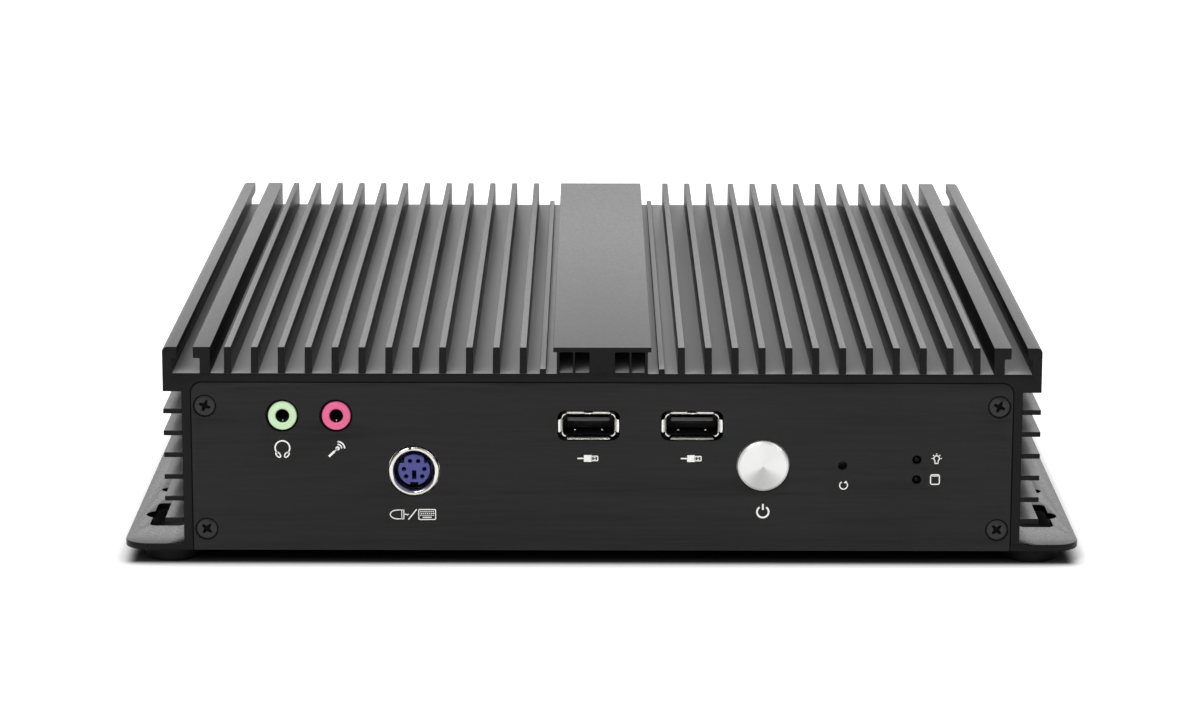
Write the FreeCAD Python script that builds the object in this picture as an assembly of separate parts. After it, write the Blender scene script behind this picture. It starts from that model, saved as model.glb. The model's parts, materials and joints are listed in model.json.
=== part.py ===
import FreeCAD, Part

import math
import os

V = FreeCAD.Vector

# Fanless industrial computer: a finned aluminium extrusion over a flanged base
# plate, closed by a front and a rear panel, with one board across its inside.
# Frame: +X to the right, the front panel faces -Y, +Z up.
# Origin: middle of the base plate in plan, on the level that the feet stand on.
# All sizes in millimetres.  Heights called "..._height" of a port or a screw are
# measured from the base plate's underside, which is also the panels' lower edge.

# ---------------------------------------------------------------- main sizes
body_depth = 230.0              # extrusion, front face to rear face
panel_width = 200.0
panel_tall = 42.1
panel_thickness = 1.6
panel_gap = 0.15                # fit between a panel and the extrusion
foot_tall = 3.6
foot_radius = 7.5
foot_inset = 9.0                # foot centre behind the plate's front edge
foot_side_inset = 11.3          # foot centre from the flange's outer edge
plate_thickness = 1.6
flange_reach = 10.4             # plate beyond the tips of the side fins
plate_corner_radius = 6.0
fit = 0.05                      # radial, between a screw or a plunger and its hole

# ---------------------------------------------------------------- extrusion
wall_thickness = 2.15
roof_thickness = 2.15
shoulder_drop = 4.6             # overhanging shoulder below the valley floor
side_fin_count = 6
side_fin_pitch = 5.47
side_fin_first = 7.55           # height of the lowest side fin's middle
side_fin_thickness = 1.25
side_fin_reach = 4.5
fin_count = 12                  # plain top fins on each side of the middle
fin_first_x = 19.2
fin_last_gap = 4.18             # last plain fin's middle from the T-slot's inner side
fin_tall = 6.5
fin_tip = 1.6
fin_root = 1.8
low_rib_x = 14.45
low_rib_width = 1.4
low_rib_tall = 1.2
cap_half = 11.9                 # flat cap over the hollow middle rib
cap_thickness = 1.2
rib_half = 11.05
rib_skin = 0.7
inner_web_x = 6.85
inner_web = 0.5
stem_half = 3.1
pocket_floor = 0.3              # floor of the hollow rib above the valley floor
slot_mouth = 3.9                # T-slot beside each shoulder
slot_lip = 2.8                  # height of the lips over the T-slot
slot_stem = 2.6
slot_lip_in = 1.6               # lip of the T-slot's inner side
slot_lip_out = 1.2              # lip of the T-slot's outer side
shoulder_width = 3.6            # top face of the shoulder
shoulder_round = 1.0

rail_reach = 3.0                # board rails on the inside of the walls
rail_thickness = 1.5
rail_slack = 0.1                # between the board's upper face and its rail
rib_skin_low = 1.5              # metal beside and over the groove for the plate's screws

# ---------------------------------------------------------------- screws
screw_radius = 1.5
small_gap = 0.5                 # running room around moving pieces
screw_head_radius = 2.5
screw_sides = 12                # a screw is a bar with this many flats
countersink_radius = 2.85
panel_screw_length = 9.0
panel_screw_inset = 3.3         # from the panel's side edge
panel_screw_low = 5.3
panel_screw_high = 36.2
boss_width = 6.6                # inner corner ribs that the screws cut into
base_screw_length = 6.0
base_screw_inset = 10.2         # groove for the plate's screws, from the inside of the wall
base_screw_span = 140.0         # first row to last row

# ---------------------------------------------------------------- base plate
keyhole_edge = 4.55             # outer edge of the slot from the plate's side edge
keyhole_width = 8.45
keyhole_start = 17.0            # slot behind the plate's front edge
keyhole_length = 22.0
keyhole_corner = 1.5
keyhole_lobe_radius = 3.4
keyhole_lobe_edge = 6.1         # lobe's middle from the plate's side edge
wall_hole_radius = 2.1
wall_hole_edge = 6.0            # hole's middle from the plate's side edge
wall_hole_inset = 52.9          # hole centre behind the plate's front edge

# ---------------------------------------------------------------- front ports
usb_height = 31.4
usb_left_x = -3.3
usb_right_x = 21.9
usb_width = 13.1
usb_tall = 5.7
usb_skin = 0.3
usb_depth = 14.0
usb_flare_width = 14.85
usb_flare_tall = 7.0
usb_flare_depth = 1.2
usb_opening_width = 15.2
usb_opening_tall = 7.5
usb_opening_round = 1.8
usb_tongue_width = 10.25
usb_tongue_tall = 1.85
usb_tongue_length = 8.6
usb_tongue_drop = 0.4           # below the shell's upper wall
usb_back_open = 1.0             # shell behind the plastic block
usb_recess = 0.1                # lips behind the panel's face
usb_lip_share = 0.7             # part of the flare that is open at its corners
audio_height = 33.8
headphone_edge = 22.1           # from the panel's left edge
audio_pitch = 13.1
audio_nose_radius = 3.65
audio_bore_radius = 1.775
audio_bore_depth = 12.5
audio_proud = 0.4
audio_hole_radius = 4.05
audio_body_width = 12.0
audio_body_depth = 13.0
keyboard_pitch = 18.9           # from the microphone socket
keyboard_height = 20.0
keyboard_ring_radius = 6.15
keyboard_ring_bore = 4.87
keyboard_ring_proud = 0.3
keyboard_hole_radius = 6.35
keyboard_core_radius = 3.8
keyboard_core_recess = 0.9
keyboard_well_depth = 5.8
keyboard_body_width = 14.0
keyboard_body_depth = 12.5
keyboard_flange = 0.6

# ---------------------------------------------------------------- controls
power_x = 39.3
power_height = 21.5
power_cap_radius = 6.2
power_hole_radius = 6.5
power_cap_proud = 0.9
power_collar_radius = 7.3
power_collar_thickness = 1.2
power_travel = 1.5
power_switch_side = 8.5
power_switch_depth = 5.5
reset_x = 58.7
reset_height = 21.5
pinhole_radius = 1.05
reset_switch_side = 6.0
reset_switch_depth = 3.6
reset_plunger_proud = 4.6
reset_travel = 0.25
plunger_side = 3.2
plunger_inside = 2.6            # plunger inside its switch, at rest
led_edge = 23.2                 # from the panel's right edge
power_led_height = 23.0
drive_led_height = 18.0
led_radius = 0.95
led_base = 3.0
led_base_thickness = 1.0
led_recess = 0.3
led_spacer_width = 4.4
led_spacer_tall = 9.4
led_spacer_depth = 7.6
control_board_gap = 10.0        # behind the panel
control_board_left = 31.0
control_board_edge = 16.0       # from the panel's right edge
control_board_low = 12.4
header_x = 56.0                 # right-angle header that carries the control board
header_width = 32.0
header_depth = 7.0
header_tall = 5.0

# ---------------------------------------------------------------- boards
board_thickness = 1.6
board_side_gap = 0.3            # between the board's edge and the wall
board_end_gap = 1.0             # between the mainboard and the rear panel
processor_width = 38.0
processor_depth = 36.0
processor_carrier = 1.2
processor_lid = 1.0
processor_lid_inset = 4.0
thermal_pad_thickness = 0.5
heat_block_width = 60.0
heat_block_depth = 62.0
chipset_x = 56.0
chipset_y = -48.0
chipset_side = 24.0
chipset_tall = 1.4
chipset_die = 12.0
chipset_die_tall = 1.0
memory_x = -72.0
memory_y = -8.0
memory_length = 67.6
memory_width = 30.0
memory_thickness = 1.0
memory_socket_depth = 6.5
memory_socket_tall = 5.2
memory_seat_height = 2.6        # module's underside above the board
memory_insertion = 3.5
memory_arm = 2.4
memory_chip = 9.0
memory_chip_count = 4
memory_rest = 1.5               # rest under each short edge
memory_chip_tall = 1.0
battery_x = 62.0                # sealed battery of the clock
battery_y = 2.0
battery_width = 24.0
battery_depth = 14.0
battery_tall = 3.6
inductor_side = 8.0
inductor_tall = 4.2
inductor_pitch = 11.0
inductor_count = 3
inductor_y = 58.0
power_parts_x = 66.0
storage_x = -12.0
storage_y = 20.0
storage_length = 80.0
storage_width = 22.0
storage_thickness = 0.8
storage_socket_depth = 8.5
storage_socket_tall = 4.2
storage_seat = 2.4              # module's top below the board
storage_insertion = 4.0
storage_chip_tall = 1.2
storage_chip_count = 3
storage_chip_side = 13.0
latch_width = 8.0
latch_depth = 3.0
latch_hook = 1.2                # under the storage module's free end

# ---------------------------------------------------------------- rear ports
rear_usb_left_x = 4.0
rear_usb_pitch = 20.0
lan_x = 28.0
lan_pitch = 22.0
lan_width = 16.0
lan_tall = 11.6
lan_depth = 19.0
lan_skin = 0.3
lan_proud = 0.5
lan_cavity_width = 11.8
lan_cavity_tall = 7.0
lan_cavity_lift = 2.6
lan_cavity_depth = 12.5
lan_insert_recess = 0.4
lan_latch_width = 4.6
lan_latch_tall = 1.2
dc_x = 76.0
dc_width = 9.4
dc_tall = 11.0
dc_depth = 13.5
dc_hole_radius = 3.2
dc_hole_depth = 9.5
dc_pin_radius = 1.05
dc_pin_recess = 1.0
video_x = -42.0
video_width = 15.0
video_tall = 5.6
video_slope = 2.4               # sideways draw-in of its lower corners
video_skin = 0.4
video_depth = 11.5
video_tongue_width = 10.8
video_tongue_tall = 1.5
video_tongue_lift = 3.1
video_tongue_recess = 0.8
video_waist = 2.5               # height of the lower corners' slope
video_back_open = 1.0
video_well_depth = 7.0
rear_opening_fit = 0.25         # around the rear ports

# ---------------------------------------------------------------- derived levels
front = -body_depth / 2
rear = body_depth / 2
panel_back = front + panel_thickness
rear_panel_front = rear - panel_thickness
base_z = foot_tall
floor_z = base_z + plate_thickness
roof_in_z = base_z + panel_tall + panel_gap
valley_z = roof_in_z + roof_thickness
top_z = valley_z + fin_tall
wall_in = panel_width / 2 + panel_gap
wall_out = wall_in + wall_thickness
body_half = wall_out + side_fin_reach
plate_half = body_half + flange_reach
slot_face = body_half - shoulder_width - slot_mouth - slot_lip_in - slot_stem
fin_pitch = (slot_face - fin_last_gap - fin_first_x) / (fin_count - 1)
keyhole_outer = plate_half - keyhole_edge
keyhole_lobe_x = plate_half - keyhole_lobe_edge
wall_hole_x = plate_half - wall_hole_edge
headphone_x = headphone_edge - panel_width / 2
microphone_x = headphone_x + audio_pitch
keyboard_x = microphone_x + keyboard_pitch
led_x = panel_width / 2 - led_edge
control_board_right = panel_width / 2 - control_board_edge
screw_x = panel_width / 2 - panel_screw_inset
hole_radius = screw_radius + fit
base_screw_x = wall_in - base_screw_inset
usb_z = base_z + usb_height
board_top = usb_z - usb_tall / 2
board_bottom = board_top - board_thickness
board_half = wall_in - board_side_gap
board_front = panel_back + power_collar_thickness + power_travel + small_gap
board_rear = rear_panel_front - board_end_gap
audio_z = base_z + audio_height
keyboard_z = base_z + keyboard_height
power_z = base_z + power_height
reset_z = base_z + reset_height
control_front = panel_back + control_board_gap
control_back = control_front + board_thickness
power_plunger_face = panel_back + power_collar_thickness
reset_plunger_face = control_front - reset_switch_depth - reset_plunger_proud
rear_usb_places = (rear_usb_left_x, rear_usb_left_x - rear_usb_pitch)
lan_places = (lan_x, lan_x + lan_pitch)
foot_x = plate_half - foot_side_inset
foot_y = -front - foot_inset
heat_block_low = board_top + processor_carrier + processor_lid + thermal_pad_thickness


# ---------------------------------------------------------------- helpers
def box(x0, x1, y0, y1, z0, z1):
    """Block between two opposite corners."""
    return Part.makeBox(x1 - x0, y1 - y0, z1 - z0, V(x0, y0, z0))


def block(x, z, width, tall, y0, y1):
    """Block centred on (x, z) and running from y0 to y1."""
    return box(x - width / 2, x + width / 2, y0, y1, z - tall / 2, z + tall / 2)


def rod(x, z, radius, y0, y1):
    """Round bar along Y."""
    return Part.makeCylinder(radius, y1 - y0, V(x, y0, z), V(0, 1, 0))


def post(x, y, radius, z0, z1):
    """Round bar along Z."""
    return Part.makeCylinder(radius, z1 - z0, V(x, y, z0), V(0, 0, 1))


def prism(outline, y0, y1):
    """Solid with an (x, z) outline, running from y0 to y1."""
    points = [V(x, y0, z) for x, z in outline]
    return Part.Face(Part.makePolygon(points + points[:1])).extrude(V(0, y1 - y0, 0))


def rectangle(x, z, width, tall, y):
    """Closed wire around a rectangle that faces Y."""
    half_x, half_z = width / 2, tall / 2
    signs = [(-1, -1), (1, -1), (1, 1), (-1, 1), (-1, -1)]
    return Part.makePolygon([V(x + half_x * sx, y, z + half_z * sz) for sx, sz in signs])


def round_edges(shape, radius, axis):
    """Rounds every straight edge that runs along the given axis."""
    edges = [e for e in shape.Edges if abs(abs(e.tangentAt(e.FirstParameter).dot(axis)) - 1) < 1e-6]
    return shape.makeFillet(radius, edges)


def rounded_block(x, z, width, tall, radius, y0, y1):
    """Block with its four edges along Y rounded."""
    return round_edges(block(x, z, width, tall, y0, y1), radius, V(0, 1, 0))


def fuse(shapes):
    """One solid from touching pieces."""
    return shapes[0].multiFuse(shapes[1:]).removeSplitter()


def cut(shape, tools):
    """The shape without any of the tools."""
    return shape.cut(Part.makeCompound(tools)) if tools else shape


def mirrored(points):
    """An outline's points mirrored in X, in reverse order."""
    return [(-x, z) for x, z in reversed(points)]


def corners(x, y):
    """The four points that lie symmetrically about the Z axis."""
    return [(sx * x, sy * y) for sy in (-1, 1) for sx in (-1, 1)]


# ---------------------------------------------------------------- fasteners
def polygon_ring(radius, y):
    """Closed regular polygon around the Y axis."""
    angles = [2 * math.pi * turn / screw_sides for turn in range(screw_sides)]
    points = [V(radius * math.cos(angle), y, radius * math.sin(angle)) for angle in angles]
    return Part.makePolygon(points + points[:1])


def countersunk_screw(length, thickness):
    """Countersunk screw along +Y for a sheet of that thickness whose face is at the origin."""
    slope = (countersink_radius - hole_radius) / thickness
    head_start = (countersink_radius - screw_head_radius) / slope
    head_end = (countersink_radius - screw_radius) / slope
    rings = [
        polygon_ring(screw_head_radius, head_start),
        polygon_ring(screw_radius, head_end),
        polygon_ring(screw_radius, length),
    ]
    return Part.makeLoft(rings, True, True)


def countersunk_hole(thickness):
    """Cutter for that screw: one cone through the sheet."""
    return Part.makeCone(countersink_radius, hole_radius, thickness, V(0, 0, 0), V(0, 1, 0))


def facing(shape, x, y, z, direction):
    """Turns a shape made along +Y to another direction and moves it."""
    placed = shape.copy()
    turn = FreeCAD.Rotation(V(0, 1, 0), direction)
    placed.Placement = FreeCAD.Placement(V(x, y, z), turn)
    return placed


panel_screw_places = [
    (side * screw_x, base_z + height)
    for height in (panel_screw_low, panel_screw_high)
    for side in (-1, 1)
]
base_screw_places = corners(base_screw_x, base_screw_span / 2)


# ---------------------------------------------------------------- extrusion
def rib_points(x, root, tip, tall):
    """Outline of one upright fin of the roof, walked from left to right."""
    return [
        (x - root / 2, valley_z),
        (x - tip / 2, valley_z + tall),
        (x + tip / 2, valley_z + tall),
        (x + root / 2, valley_z),
    ]


def side_fin_points(number):
    """Outline of one side fin, walked from its upper to its lower edge."""
    middle = base_z + side_fin_first + number * side_fin_pitch
    upper = middle + side_fin_thickness / 2
    lower = middle - side_fin_thickness / 2
    return [(wall_out, upper), (body_half, upper), (body_half, lower), (wall_out, lower)]


def half_outline():
    """Right half of the extrusion's section, from the cap round to the roof's underside."""
    block_in = body_half - shoulder_width
    hook_out = block_in - slot_mouth
    stem_out = hook_out - slot_lip_in
    lip_z = top_z - slot_lip
    points = [
        (cap_half, top_z),
        (cap_half, top_z - cap_thickness),
        (rib_half, top_z - cap_thickness),
        (rib_half, valley_z),
    ]
    points += rib_points(low_rib_x, low_rib_width, low_rib_width, low_rib_tall)
    for number in range(fin_count):
        points += rib_points(fin_first_x + number * fin_pitch, fin_root, fin_tip, fin_tall)
    points += [
        (stem_out - slot_stem, valley_z),
        (stem_out - slot_stem, top_z),
        (hook_out, top_z),
        (hook_out, lip_z),
        (stem_out, lip_z),
        (stem_out, valley_z),
        (block_in + slot_lip_out, valley_z),
        (block_in + slot_lip_out, lip_z),
        (block_in, lip_z),
        (block_in, top_z),
        (body_half, top_z),
        (body_half, valley_z - shoulder_drop),
        (wall_out, valley_z - shoulder_drop),
    ]
    for number in reversed(range(side_fin_count)):
        points += side_fin_points(number)
    points += [(wall_out, floor_z), (wall_in, floor_z), (wall_in, roof_in_z)]
    return points


def corner_ribs():
    """Ribs in the four inner corners, between the two panels, that the screws cut into."""
    half = boss_width / 2
    low_top = base_z + panel_screw_low + half
    high_low = base_z + panel_screw_high - half
    upper_in = screw_x - half
    lower_in = base_screw_x - hole_radius - rib_skin_low
    pieces = []
    for side in (-1, 1):
        for inner, z0, z1 in ((lower_in, floor_z, low_top), (upper_in, high_low, roof_in_z)):
            x0, x1 = sorted((side * inner, side * wall_in))
            pieces.append(box(x0, x1, panel_back, rear_panel_front, z0, z1))
    return pieces


def board_rails():
    """Two rails on each wall, under and over the mainboard's edge."""
    over = board_top + rail_slack
    pieces = []
    for side in (-1, 1):
        x0, x1 = sorted((side * (wall_in - rail_reach), side * wall_in))
        for z0 in (board_bottom - rail_thickness, over):
            pieces.append(box(x0, x1, panel_back, rear_panel_front, z0, z0 + rail_thickness))
    return pieces


def heatsink_chassis():
    """One extrusion: finned roof, two finned walls, hollow middle rib and T-slots."""
    right = half_outline()
    shell = prism(right + mirrored(right), front, rear)
    shoulder = [
        edge
        for edge in shell.Edges
        if all(abs(abs(v.X) - body_half) < 1e-6 and abs(v.Z - top_z) < 1e-6 for v in edge.Vertexes)
    ]
    shell = shell.makeFillet(shoulder_round, shoulder)
    pocket_low = valley_z + pocket_floor
    pocket_high = top_z - cap_thickness
    tools = []
    for side in (-1, 1):
        for x0, x1 in (
            (stem_half, inner_web_x - inner_web / 2),
            (inner_web_x + inner_web / 2, rib_half - rib_skin),
        ):
            low_x, high_x = sorted((side * x0, side * x1))
            tools.append(box(low_x, high_x, front, rear, pocket_low, pocket_high))
    for x, z in panel_screw_places:
        tools.append(rod(x, z, hole_radius, panel_back, rear_panel_front))
    groove_top = base_z + panel_screw_low + boss_width / 2 - rib_skin_low
    for side in (-1, 1):
        x = side * base_screw_x
        tools.append(
            box(x - hole_radius, x + hole_radius, panel_back, rear_panel_front, floor_z, groove_top)
        )
    return cut(fuse([shell] + corner_ribs() + board_rails()), tools)


# ---------------------------------------------------------------- base plate
def keyhole(side, end):
    """Cutter for one keyhole: a wide slot with a round lobe on its outer edge."""
    near = front + keyhole_start
    middle = near + keyhole_length / 2
    x = keyhole_outer - keyhole_width / 2
    slot = box(
        x - keyhole_width / 2,
        x + keyhole_width / 2,
        near,
        near + keyhole_length,
        base_z,
        floor_z,
    )
    slot = round_edges(slot, keyhole_corner, V(0, 0, 1))
    lobe = post(keyhole_lobe_x, middle, keyhole_lobe_radius, base_z, floor_z)
    shape = fuse([slot, lobe])
    if side < 0:
        shape = shape.mirror(V(0, 0, 0), V(1, 0, 0))
    if end > 0:
        shape = shape.mirror(V(0, 0, 0), V(0, 1, 0))
    return shape


def base_plate():
    """Sheet with two flanges, keyholes, and notches that the panels drop into."""
    sheet = box(-plate_half, plate_half, front, rear, base_z, floor_z)
    sheet = round_edges(sheet, plate_corner_radius, V(0, 0, 1))
    tools = [
        box(-wall_in, wall_in, front, panel_back, base_z, floor_z),
        box(-wall_in, wall_in, rear_panel_front, rear, base_z, floor_z),
    ]
    tools += [keyhole(side, end) for side in (-1, 1) for end in (-1, 1)]
    for x, y in corners(wall_hole_x, -front - wall_hole_inset):
        tools.append(post(x, y, wall_hole_radius, base_z, floor_z))
    for x, y in base_screw_places:
        tools.append(facing(countersunk_hole(plate_thickness), x, y, base_z, V(0, 0, 1)))
    return cut(sheet, tools)


def rubber_feet():
    """Four round feet under the flanges."""
    return Part.makeCompound([
        post(x, y, foot_radius, 0, foot_tall) for x, y in corners(foot_x, foot_y)
    ])


# ---------------------------------------------------------------- ports
def usb_shell(x, y, z, facing_front):
    """Folded steel shell with four flared lips, open at its mouth."""
    wide, tall = usb_width, usb_tall
    inner_wide, inner_tall = wide - 2 * usb_skin, tall - 2 * usb_skin
    flare_end = usb_flare_depth
    tube = cut(
        block(x, z, wide, tall, 0, usb_depth),
        [block(x, z, inner_wide, inner_tall, 0, usb_depth)],
    )
    outside = Part.makeLoft(
        [rectangle(x, z, usb_flare_width, usb_flare_tall, 0), rectangle(x, z, wide, tall, flare_end)],
        True,
        True,
    )
    inside = Part.makeLoft(
        [
            rectangle(x, z, usb_flare_width - 2 * usb_skin, usb_flare_tall - 2 * usb_skin, 0),
            rectangle(x, z, inner_wide, inner_tall, flare_end),
        ],
        True,
        True,
    )
    notch = usb_flare_tall - tall + usb_skin
    half_x, half_z = usb_flare_width / 2, usb_flare_tall / 2
    gap_end = flare_end * usb_lip_share
    gaps = [
        block(x + sx * half_x, z + sz * half_z, 2 * notch, 2 * notch, 0, gap_end)
        for sx in (-1, 1)
        for sz in (-1, 1)
    ]
    lips = cut(outside, [inside] + gaps)
    shell = fuse([cut(tube, [block(x, z, wide, tall, 0, flare_end)]), lips])
    return placed_port(shell, x, y, facing_front)


def usb_tongue(x, y, z, facing_front):
    """Plastic block at the back of a shell with the contact tongue in its upper half."""
    inner_wide, inner_tall = usb_width - 2 * usb_skin, usb_tall - 2 * usb_skin
    stop = usb_depth - usb_back_open
    back = block(x, z, inner_wide, inner_tall, usb_recess + usb_tongue_length, stop)
    top = z + inner_tall / 2
    tongue = box(
        x - usb_tongue_width / 2,
        x + usb_tongue_width / 2,
        usb_flare_depth,
        usb_recess + usb_tongue_length,
        top - usb_tongue_drop - usb_tongue_tall,
        top - usb_tongue_drop,
    )
    return placed_port(fuse([back, tongue]), x, y, facing_front)


def placed_port(shape, x, y, facing_front):
    """Moves a port made from y = 0 inwards to its panel; a rear one is turned round."""
    moved = shape.copy()
    if not facing_front:
        moved.rotate(V(x, 0, 0), V(0, 0, 1), 180)
    moved.translate(V(0, y, 0))
    return moved


def audio_jack(x):
    """Moulded jack: a square body on the board with a round nose through the panel."""
    body = box(
        x - audio_body_width / 2,
        x + audio_body_width / 2,
        panel_back,
        panel_back + audio_body_depth,
        board_top,
        2 * audio_z - board_top,
    )
    nose_front = front - audio_proud
    nose = rod(x, audio_z, audio_nose_radius, nose_front, panel_back)
    bore = rod(x, audio_z, audio_bore_radius, nose_front, nose_front + audio_bore_depth)
    return cut(fuse([body, nose]), [bore])


def keyboard_port_shell():
    """Round steel shield of the keyboard and mouse socket, on a square flange."""
    x, z = keyboard_x, keyboard_z
    half = board_bottom - z
    ring = rod(x, z, keyboard_ring_radius, front - keyboard_ring_proud, panel_back + keyboard_flange)
    flange = box(
        x - keyboard_body_width / 2,
        x + keyboard_body_width / 2,
        panel_back,
        panel_back + keyboard_flange,
        z - half,
        z + half,
    )
    well = rod(x, z, keyboard_ring_bore, front - keyboard_ring_proud, panel_back + keyboard_flange)
    return cut(fuse([ring, flange]), [well])


def keyboard_port_insert():
    """Plastic body of that socket, with the round core that carries the contacts."""
    x, z = keyboard_x, keyboard_z
    half = board_bottom - z
    face = panel_back + keyboard_flange
    body = box(
        x - keyboard_body_width / 2,
        x + keyboard_body_width / 2,
        face,
        panel_back + keyboard_body_depth,
        z - half,
        z + half,
    )
    well_end = front + keyboard_well_depth
    well = rod(x, z, keyboard_ring_bore, face, well_end)
    core = rod(x, z, keyboard_core_radius, front + keyboard_core_recess, well_end)
    return fuse([cut(body, [well]), core])


def lan_shell(x):
    """Steel shield of a network jack: a box open at its mouth and its back end."""
    mouth = rear + lan_proud
    z = board_top + lan_tall / 2
    outer = block(x, z, lan_width, lan_tall, mouth - lan_depth, mouth)
    inner = block(x, z, lan_width - 2 * lan_skin, lan_tall - 2 * lan_skin, mouth - lan_depth, mouth)
    return cut(outer, [inner])


def lan_insert(x):
    """Plastic body of a network jack with the plug's stepped cavity."""
    mouth = rear + lan_proud
    z = board_top + lan_tall / 2
    face = mouth - lan_insert_recess
    body = block(x, z, lan_width - 2 * lan_skin, lan_tall - 2 * lan_skin, mouth - lan_depth, face)
    low = board_top + lan_cavity_lift
    high = low + lan_cavity_tall
    cavity = box(
        x - lan_cavity_width / 2,
        x + lan_cavity_width / 2,
        face - lan_cavity_depth,
        face,
        low,
        high,
    )
    latch = box(
        x - lan_latch_width / 2,
        x + lan_latch_width / 2,
        face - lan_cavity_depth,
        face,
        low - lan_latch_tall,
        low,
    )
    return cut(body, [fuse([cavity, latch])])


def dc_power_jack():
    """Plastic block of the barrel jack, with its round well."""
    z = board_top + dc_tall / 2
    body = block(dc_x, z, dc_width, dc_tall, rear - dc_depth, rear)
    return cut(body, [rod(dc_x, z, dc_hole_radius, rear - dc_hole_depth, rear)])


def dc_power_pin():
    """Centre pin of the barrel jack, standing on the bottom of its well."""
    z = board_top + dc_tall / 2
    return rod(dc_x, z, dc_pin_radius, rear - dc_hole_depth, rear - dc_pin_recess)


def video_outline(inset):
    """Outline of the digital video port: a wide mouth with drawn-in lower corners."""
    half = video_width / 2 - inset
    low = board_top + inset
    high = board_top + video_tall - inset
    waist = board_top + video_waist
    right = [(half, high), (half, waist), (half - video_slope, low)]
    return right + mirrored(right)


def video_port_shell():
    """Steel shell of the digital video port."""
    outer = prism(video_outline(0), rear - video_depth, rear)
    shell = cut(outer, [prism(video_outline(video_skin), rear - video_depth, rear)])
    return shell.translated(V(video_x, 0, 0))


def video_port_insert():
    """Plastic back block of the digital video port with its contact tongue."""
    floor = rear - video_well_depth
    back_end = rear - video_depth + video_back_open
    back = prism(video_outline(video_skin), back_end, floor)
    middle = board_top + video_tongue_lift
    tip = rear - video_tongue_recess
    tongue = block(0, middle, video_tongue_width, video_tongue_tall, floor, tip)
    return fuse([back, tongue]).translated(V(video_x, 0, 0))


# ---------------------------------------------------------------- panels
def blank_panel(y, outward):
    """Flat panel with four countersunk screw holes; outward is the way it faces."""
    half = panel_width / 2
    back = y - outward * panel_thickness
    panel = box(-half, half, min(y, back), max(y, back), base_z, base_z + panel_tall)
    holes = [
        facing(countersunk_hole(panel_thickness), x, y, z, V(0, -outward, 0))
        for x, z in panel_screw_places
    ]
    return cut(panel, holes)


def front_panel():
    """Panel with the openings for the sockets, buttons and lamps."""
    y0, y1 = front, panel_back
    tools = [
        rounded_block(x, usb_z, usb_opening_width, usb_opening_tall, usb_opening_round, y0, y1)
        for x in (usb_left_x, usb_right_x)
    ]
    for x in (headphone_x, microphone_x):
        tools.append(rod(x, audio_z, audio_hole_radius, y0, y1))
    tools.append(rod(keyboard_x, keyboard_z, keyboard_hole_radius, y0, y1))
    tools.append(rod(power_x, power_z, power_hole_radius, y0, y1))
    tools.append(rod(reset_x, reset_z, pinhole_radius, y0, y1))
    for height in (power_led_height, drive_led_height):
        tools.append(rod(led_x, base_z + height, pinhole_radius, y0, y1))
    return cut(blank_panel(front, -1), tools)


def rear_panel():
    """Panel with the openings for power, network, video and the rear USB sockets."""
    y0, y1 = rear_panel_front, rear
    room = 2 * rear_opening_fit
    lan_z = board_top + lan_tall / 2
    dc_z = board_top + dc_tall / 2
    tools = [
        block(x, usb_z, usb_opening_width, usb_opening_tall, y0, y1) for x in rear_usb_places
    ]
    tools += [block(x, lan_z, lan_width + room, lan_tall + room, y0, y1) for x in lan_places]
    tools.append(block(dc_x, dc_z, dc_width + room, dc_tall + room, y0, y1))
    video = prism(video_outline(-rear_opening_fit), y0, y1)
    tools.append(video.translated(V(video_x, 0, 0)))
    return cut(blank_panel(rear, 1), tools)


# ---------------------------------------------------------------- controls
def power_button_cap():
    """Turned button: a disc through the panel and a collar behind it."""
    x, z = power_x, power_z
    disc = rod(x, z, power_cap_radius, front - power_cap_proud, panel_back)
    collar = rod(x, z, power_collar_radius, panel_back, panel_back + power_collar_thickness)
    return fuse([disc, collar])


def push_switch(x, z, side, depth, travel):
    """Square switch on the control board with a square guide for its plunger."""
    start = control_front - depth
    guide_side = plunger_side + 2 * fit
    guide_end = start + plunger_inside + travel
    body = block(x, z, side, side, start, control_front)
    return cut(body, [block(x, z, guide_side, guide_side, start, guide_end)])


def plunger(x, z, face, depth):
    """Square plunger of a switch, from its face into the switch's guide."""
    return block(x, z, plunger_side, plunger_side, face, control_front - depth + plunger_inside)


def lamp(height):
    """Small clear lamp: a round tip in the panel's hole on a square base."""
    z = base_z + height
    base_end = control_front - led_spacer_depth
    base_start = base_end - led_base_thickness
    tip = rod(led_x, z, led_radius, front + led_recess, base_start)
    return fuse([tip, block(led_x, z, led_base, led_base, base_start, base_end)])


def lamp_spacer():
    """Block that carries both lamps at the panel's height above the control board."""
    middle = base_z + (power_led_height + drive_led_height) / 2
    start = control_front - led_spacer_depth
    return block(led_x, middle, led_spacer_width, led_spacer_tall, start, control_front)


def control_board():
    """Small upright board behind the panel's buttons and lamps, hung under the mainboard."""
    return box(
        control_board_left,
        control_board_right,
        control_front,
        control_back,
        base_z + control_board_low,
        board_bottom,
    )


def control_header():
    """Right-angle header that joins the control board to the mainboard's underside."""
    return box(
        header_x - header_width / 2,
        header_x + header_width / 2,
        control_back,
        control_back + header_depth,
        board_bottom - header_tall,
        board_bottom,
    )


# ---------------------------------------------------------------- mainboard
def mainboard():
    """Bare board, slid in between the rails of the extrusion."""
    return box(-board_half, board_half, board_front, board_rear, board_bottom, board_top)


def processor():
    """Processor: a thin carrier with a raised lid."""
    half_x, half_y = processor_width / 2, processor_depth / 2
    lid_z = board_top + processor_carrier
    carrier = box(-half_x, half_x, -half_y, half_y, board_top, lid_z)
    inset = processor_lid_inset
    lid = box(
        inset - half_x, half_x - inset, inset - half_y, half_y - inset, lid_z, lid_z + processor_lid
    )
    return fuse([carrier, lid])


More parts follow.
